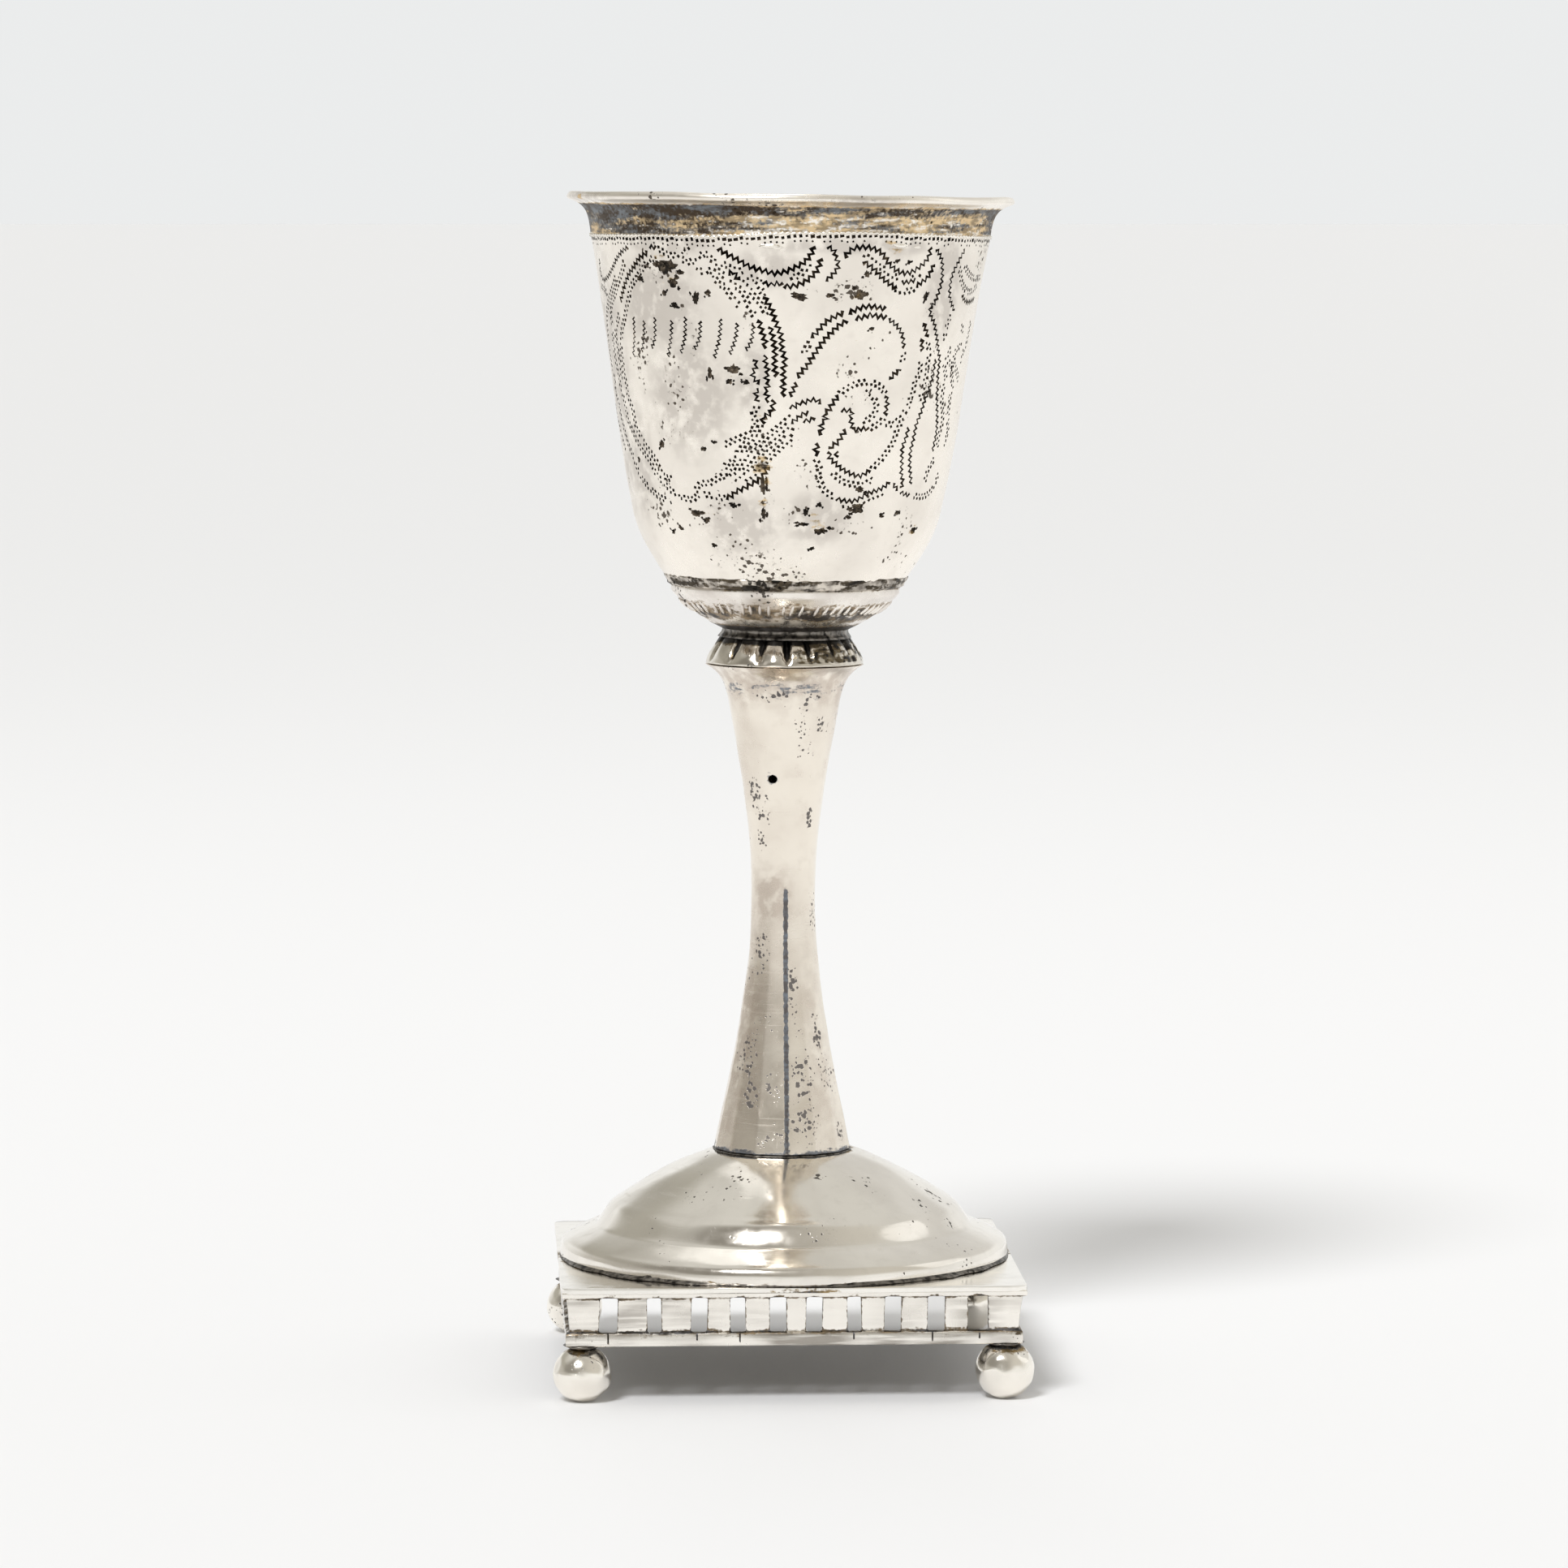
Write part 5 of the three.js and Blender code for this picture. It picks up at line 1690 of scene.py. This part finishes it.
# Dark marks as (bearing, height, half width, depth of tone).
smudges = [
    (-11, 15.5, 2.2, 1.0), (-11, 11.0, 1.2, 0.9), (9, 8.0, 2.4, 0.6), (-55, 11.6, 2.0, 0.35),
    (-40, 39.0, 3.0, 0.5), (18, 31.0, 1.2, 0.3), (54, 7.5, 1.5, 0.7), (-33, 9.0, 2.0, 0.5),
    (24, 10.5, 2.0, 0.5), (28, 43.0, 3.5, 0.5), (18, 37.0, 1.8, 0.5), (-20, 27.0, 1.8, 0.4),
    (-72, 48.4, 2.6, 0.7), (-10, 14.0, 1.4, 0.6), (-12, 22.0, 1.6, 0.5), (6, 9.4, 2.6, 0.5),
    (-44, 41.5, 2.4, 0.5),
]


def tarnish_on_bowl(p):
    """A tarnished band between border and lip, with painted shade that darkens it towards the lip,
    darker towards the left and right; a dark foot and the smudges; even inside.
    """
    q = to_bowl @ (p * mm) / mm
    radius = math.hypot(q.x, q.y)
    bearing = bearing_of(q)
    outside = radius > side_radius(q.z) - 0.6 or q.z > 48.0
    if not outside:
        return 0.12
    over = q.z - border_level(bearing) - 0.2
    band = max(0.0, min(1.0, over / 0.4)) * max(0.0, min(1.0, (48.15 - q.z) / 0.5))
    left_side = max(0.0, -math.sin(math.radians(bearing + 6)))
    right_side = max(0.0, math.sin(math.radians(bearing - 12)))
    # Painted shade: the band grows darker towards the lip above it. It is also darker towards the left
    # and, less, towards the right.
    band *= 0.64 + 0.12 * max(0.0, over - 1.9) + 0.18 * left_side ** 0.6 + 0.09 * right_side
    foot = max(0.0, 1 - q.z / 0.7)
    mark = 0.0
    for b, z, size, depth in smudges:
        off = apart(bearing, b) * math.radians(1) * radius
        mark = max(mark, depth * (1 - math.hypot(off, q.z - z) / size))
    return max(band, 0.9 * foot, mark)


# Duller patches as (bearing, height, half width, half height), and the same for small pits.
bowl_haze = [
    (-38, 24.0, 8.0, 9.0), (-46, 36.0, 8.0, 7.0), (-80, 26.0, 7.0, 20.0), (-70, 48.4, 9.0, 1.2),
    (14, 48.4, 8.0, 1.0), (-14, 26.0, 3.0, 6.0), (-10, 40.0, 6.0, 3.0), (-42, 43.0, 9.0, 1.6),
    (10, 43.0, 12.0, 1.2), (50, 38.0, 4.0, 8.0), (-20, 8.0, 6.0, 5.0), (-66, 16.0, 4.0, 9.0),
    (30, 43.2, 7.0, 1.6), (8, 9.0, 5.0, 4.0), (140, 20.0, 10.0, 9.0), (-140, 28.0, 9.0, 8.0),
    (95, 34.0, 6.0, 6.0),
]
bowl_pitting = [
    (-28, 10.0, 5.0, 2.0), (-58, 9.0, 4.0, 4.0), (0, 9.6, 3.4, 1.8), (22, 8.0, 5.0, 1.8),
    (46, 8.4, 3.0, 3.6), (26, 11.0, 3.0, 1.6), (-10, 10.5, 1.6, 4.0), (-35, 33.0, 2.2, 6.0),
    (-42, 39.0, 2.8, 2.0), (12, 37.4, 6.0, 1.2), (44, 36.0, 2.2, 3.0), (48, 26.0, 2.2, 5.0),
    (-45, 20.0, 4.0, 3.0), (-14, 18.4, 3.4, 2.4), (20, 24.0, 3.0, 1.6), (110, 30.0, 5.0, 4.0),
    (160, 10.0, 7.0, 4.0), (-150, 14.0, 6.0, 4.0), (-110, 36.0, 4.0, 4.0),
]


def inside_spots(p, spots):
    """How near a point on the outside of the bowl is to the middle of a spot."""
    q = to_bowl @ (p * mm) / mm
    return nearness(q, spots) if q.xy.length > side_radius(q.z) - 0.6 else 0.0


paint(bowl, "haze", lambda p: inside_spots(p, bowl_haze))
paint(bowl, "pitting", lambda p: 0.6 * inside_spots(p, bowl_pitting))
paint(bowl, "tarnish", tarnish_on_bowl)
fit(bowl, bowl_silver, "bowl_silver", "bowl")

# The graver threw up a burr along the border, since rubbed bright, and lifted two flakes there.
burr_silver = silver(
    "burr_silver", bright=(1.0, 0.955, 0.87, 1), clouded=(0.80, 0.75, 0.68, 1), cloudiness=0.3,
    cloud_scale=300.0, polish=0.24, pits=0.2, scratches=0.3, bump=0.3,
)
burr_ring = 10.0
burr_section = [
    (10.0, -0.17), (10.2, -0.05), (10.2, 0.08), (10.0, 0.18), (9.7, 0.06), (9.7, -0.06), (10.0, -0.17),
]
bm = turn(burr_section, 4 * border_teeth)
for v in bm.verts:
    bearing = bearing_of(v.co)
    proud = v.co.xy.length - burr_ring - 0.02
    scallop = abs(math.cos(math.radians(bearing) * border_teeth / 2))
    level = border_level(bearing) + 0.32 + 0.18 * scallop
    level += 0.08 * noise.noise(Vector((bearing / 3.0, 5.0, 0)))
    proud *= 1 + 0.6 * noise.noise(Vector((bearing / 2.2, 0, 9.0)))
    v.co = on_skin(bearing, level + v.co.z, proud)
border_burr = finished(bm, "border_burr", bowl_place)
fit(border_burr, burr_silver, "bowl_silver")

flake_places = [
    (-9, 42.9, 2.4, 0.5), (-6.5, 42.7, 1.4, 0.4), (30, 43.2, 2.2, 0.55), (36, 43.0, 1.2, 0.4),
]
bm = bmesh.new()
for bearing, z, across, upright in flake_places:
    flake = bmesh.ops.create_icosphere(bm, subdivisions=3, radius=0.5)["verts"]
    for v in flake:
        v.co *= 1 + 0.5 * noise.noise(v.co * 4.0 + Vector((bearing, z, 0)))
    bmesh.ops.scale(bm, vec=(across, 0.16, upright), verts=flake)
    set_on = Matrix.Translation(on_skin(bearing, z, -0.01)) @ turned(bearing, "Z")
    bmesh.ops.transform(bm, matrix=set_on, verts=flake)
lifted_flakes = finished(bm, "lifted_flakes", bowl_place)
fit(lifted_flakes, burr_silver, "bowl_silver")

# The solder between bowl and saucer has run out into a dark, broken crust.
ledge_crust = silver(
    "ledge_crust", bright=(0.74, 0.68, 0.60, 1), clouded=(0.16, 0.14, 0.12, 1), cloud_scale=520.0,
    cloudiness=0.9, tarnished=(0.03, 0.026, 0.022, 1), golden=(0.10, 0.08, 0.055, 1),
    blued=(0.06, 0.056, 0.055, 1),
    polish=0.30, pits=0.9, pit_scale=1300.0, scratches=0.3, bump=0.9,
)
fillet = [(14.2, -0.30), (14.72, -0.32), (15.08, -0.1)]
for z, thick in ((0.2, 0.16), (0.5, 0.15), (0.8, 0.10), (1.02, 0.0)):
    fillet.append((side_radius(z) + thick, z))
bm = turn(fillet + [(14.9, 0.9), (14.2, -0.30)], 300)
for v in bm.verts:
    radius = v.co.xy.length
    if radius > side_radius(v.co.z) - 0.1:
        v.co.xy *= 1 + (lumpy(v.co, 1.0, 0.12, 41) + lumpy(v.co, 3.0, 0.10, 44) - 0.02) / radius
ledge_solder = finished(bm, "ledge_solder", bowl_place)


def tarnish_on_crust(p):
    return 0.56 + 0.5 * noise.noise(Vector((p.x / 2.6, p.y / 2.6, p.z / 0.8)))


paint(ledge_solder, "tarnish", tarnish_on_crust)
fit(ledge_solder, ledge_crust, "bowl_silver")
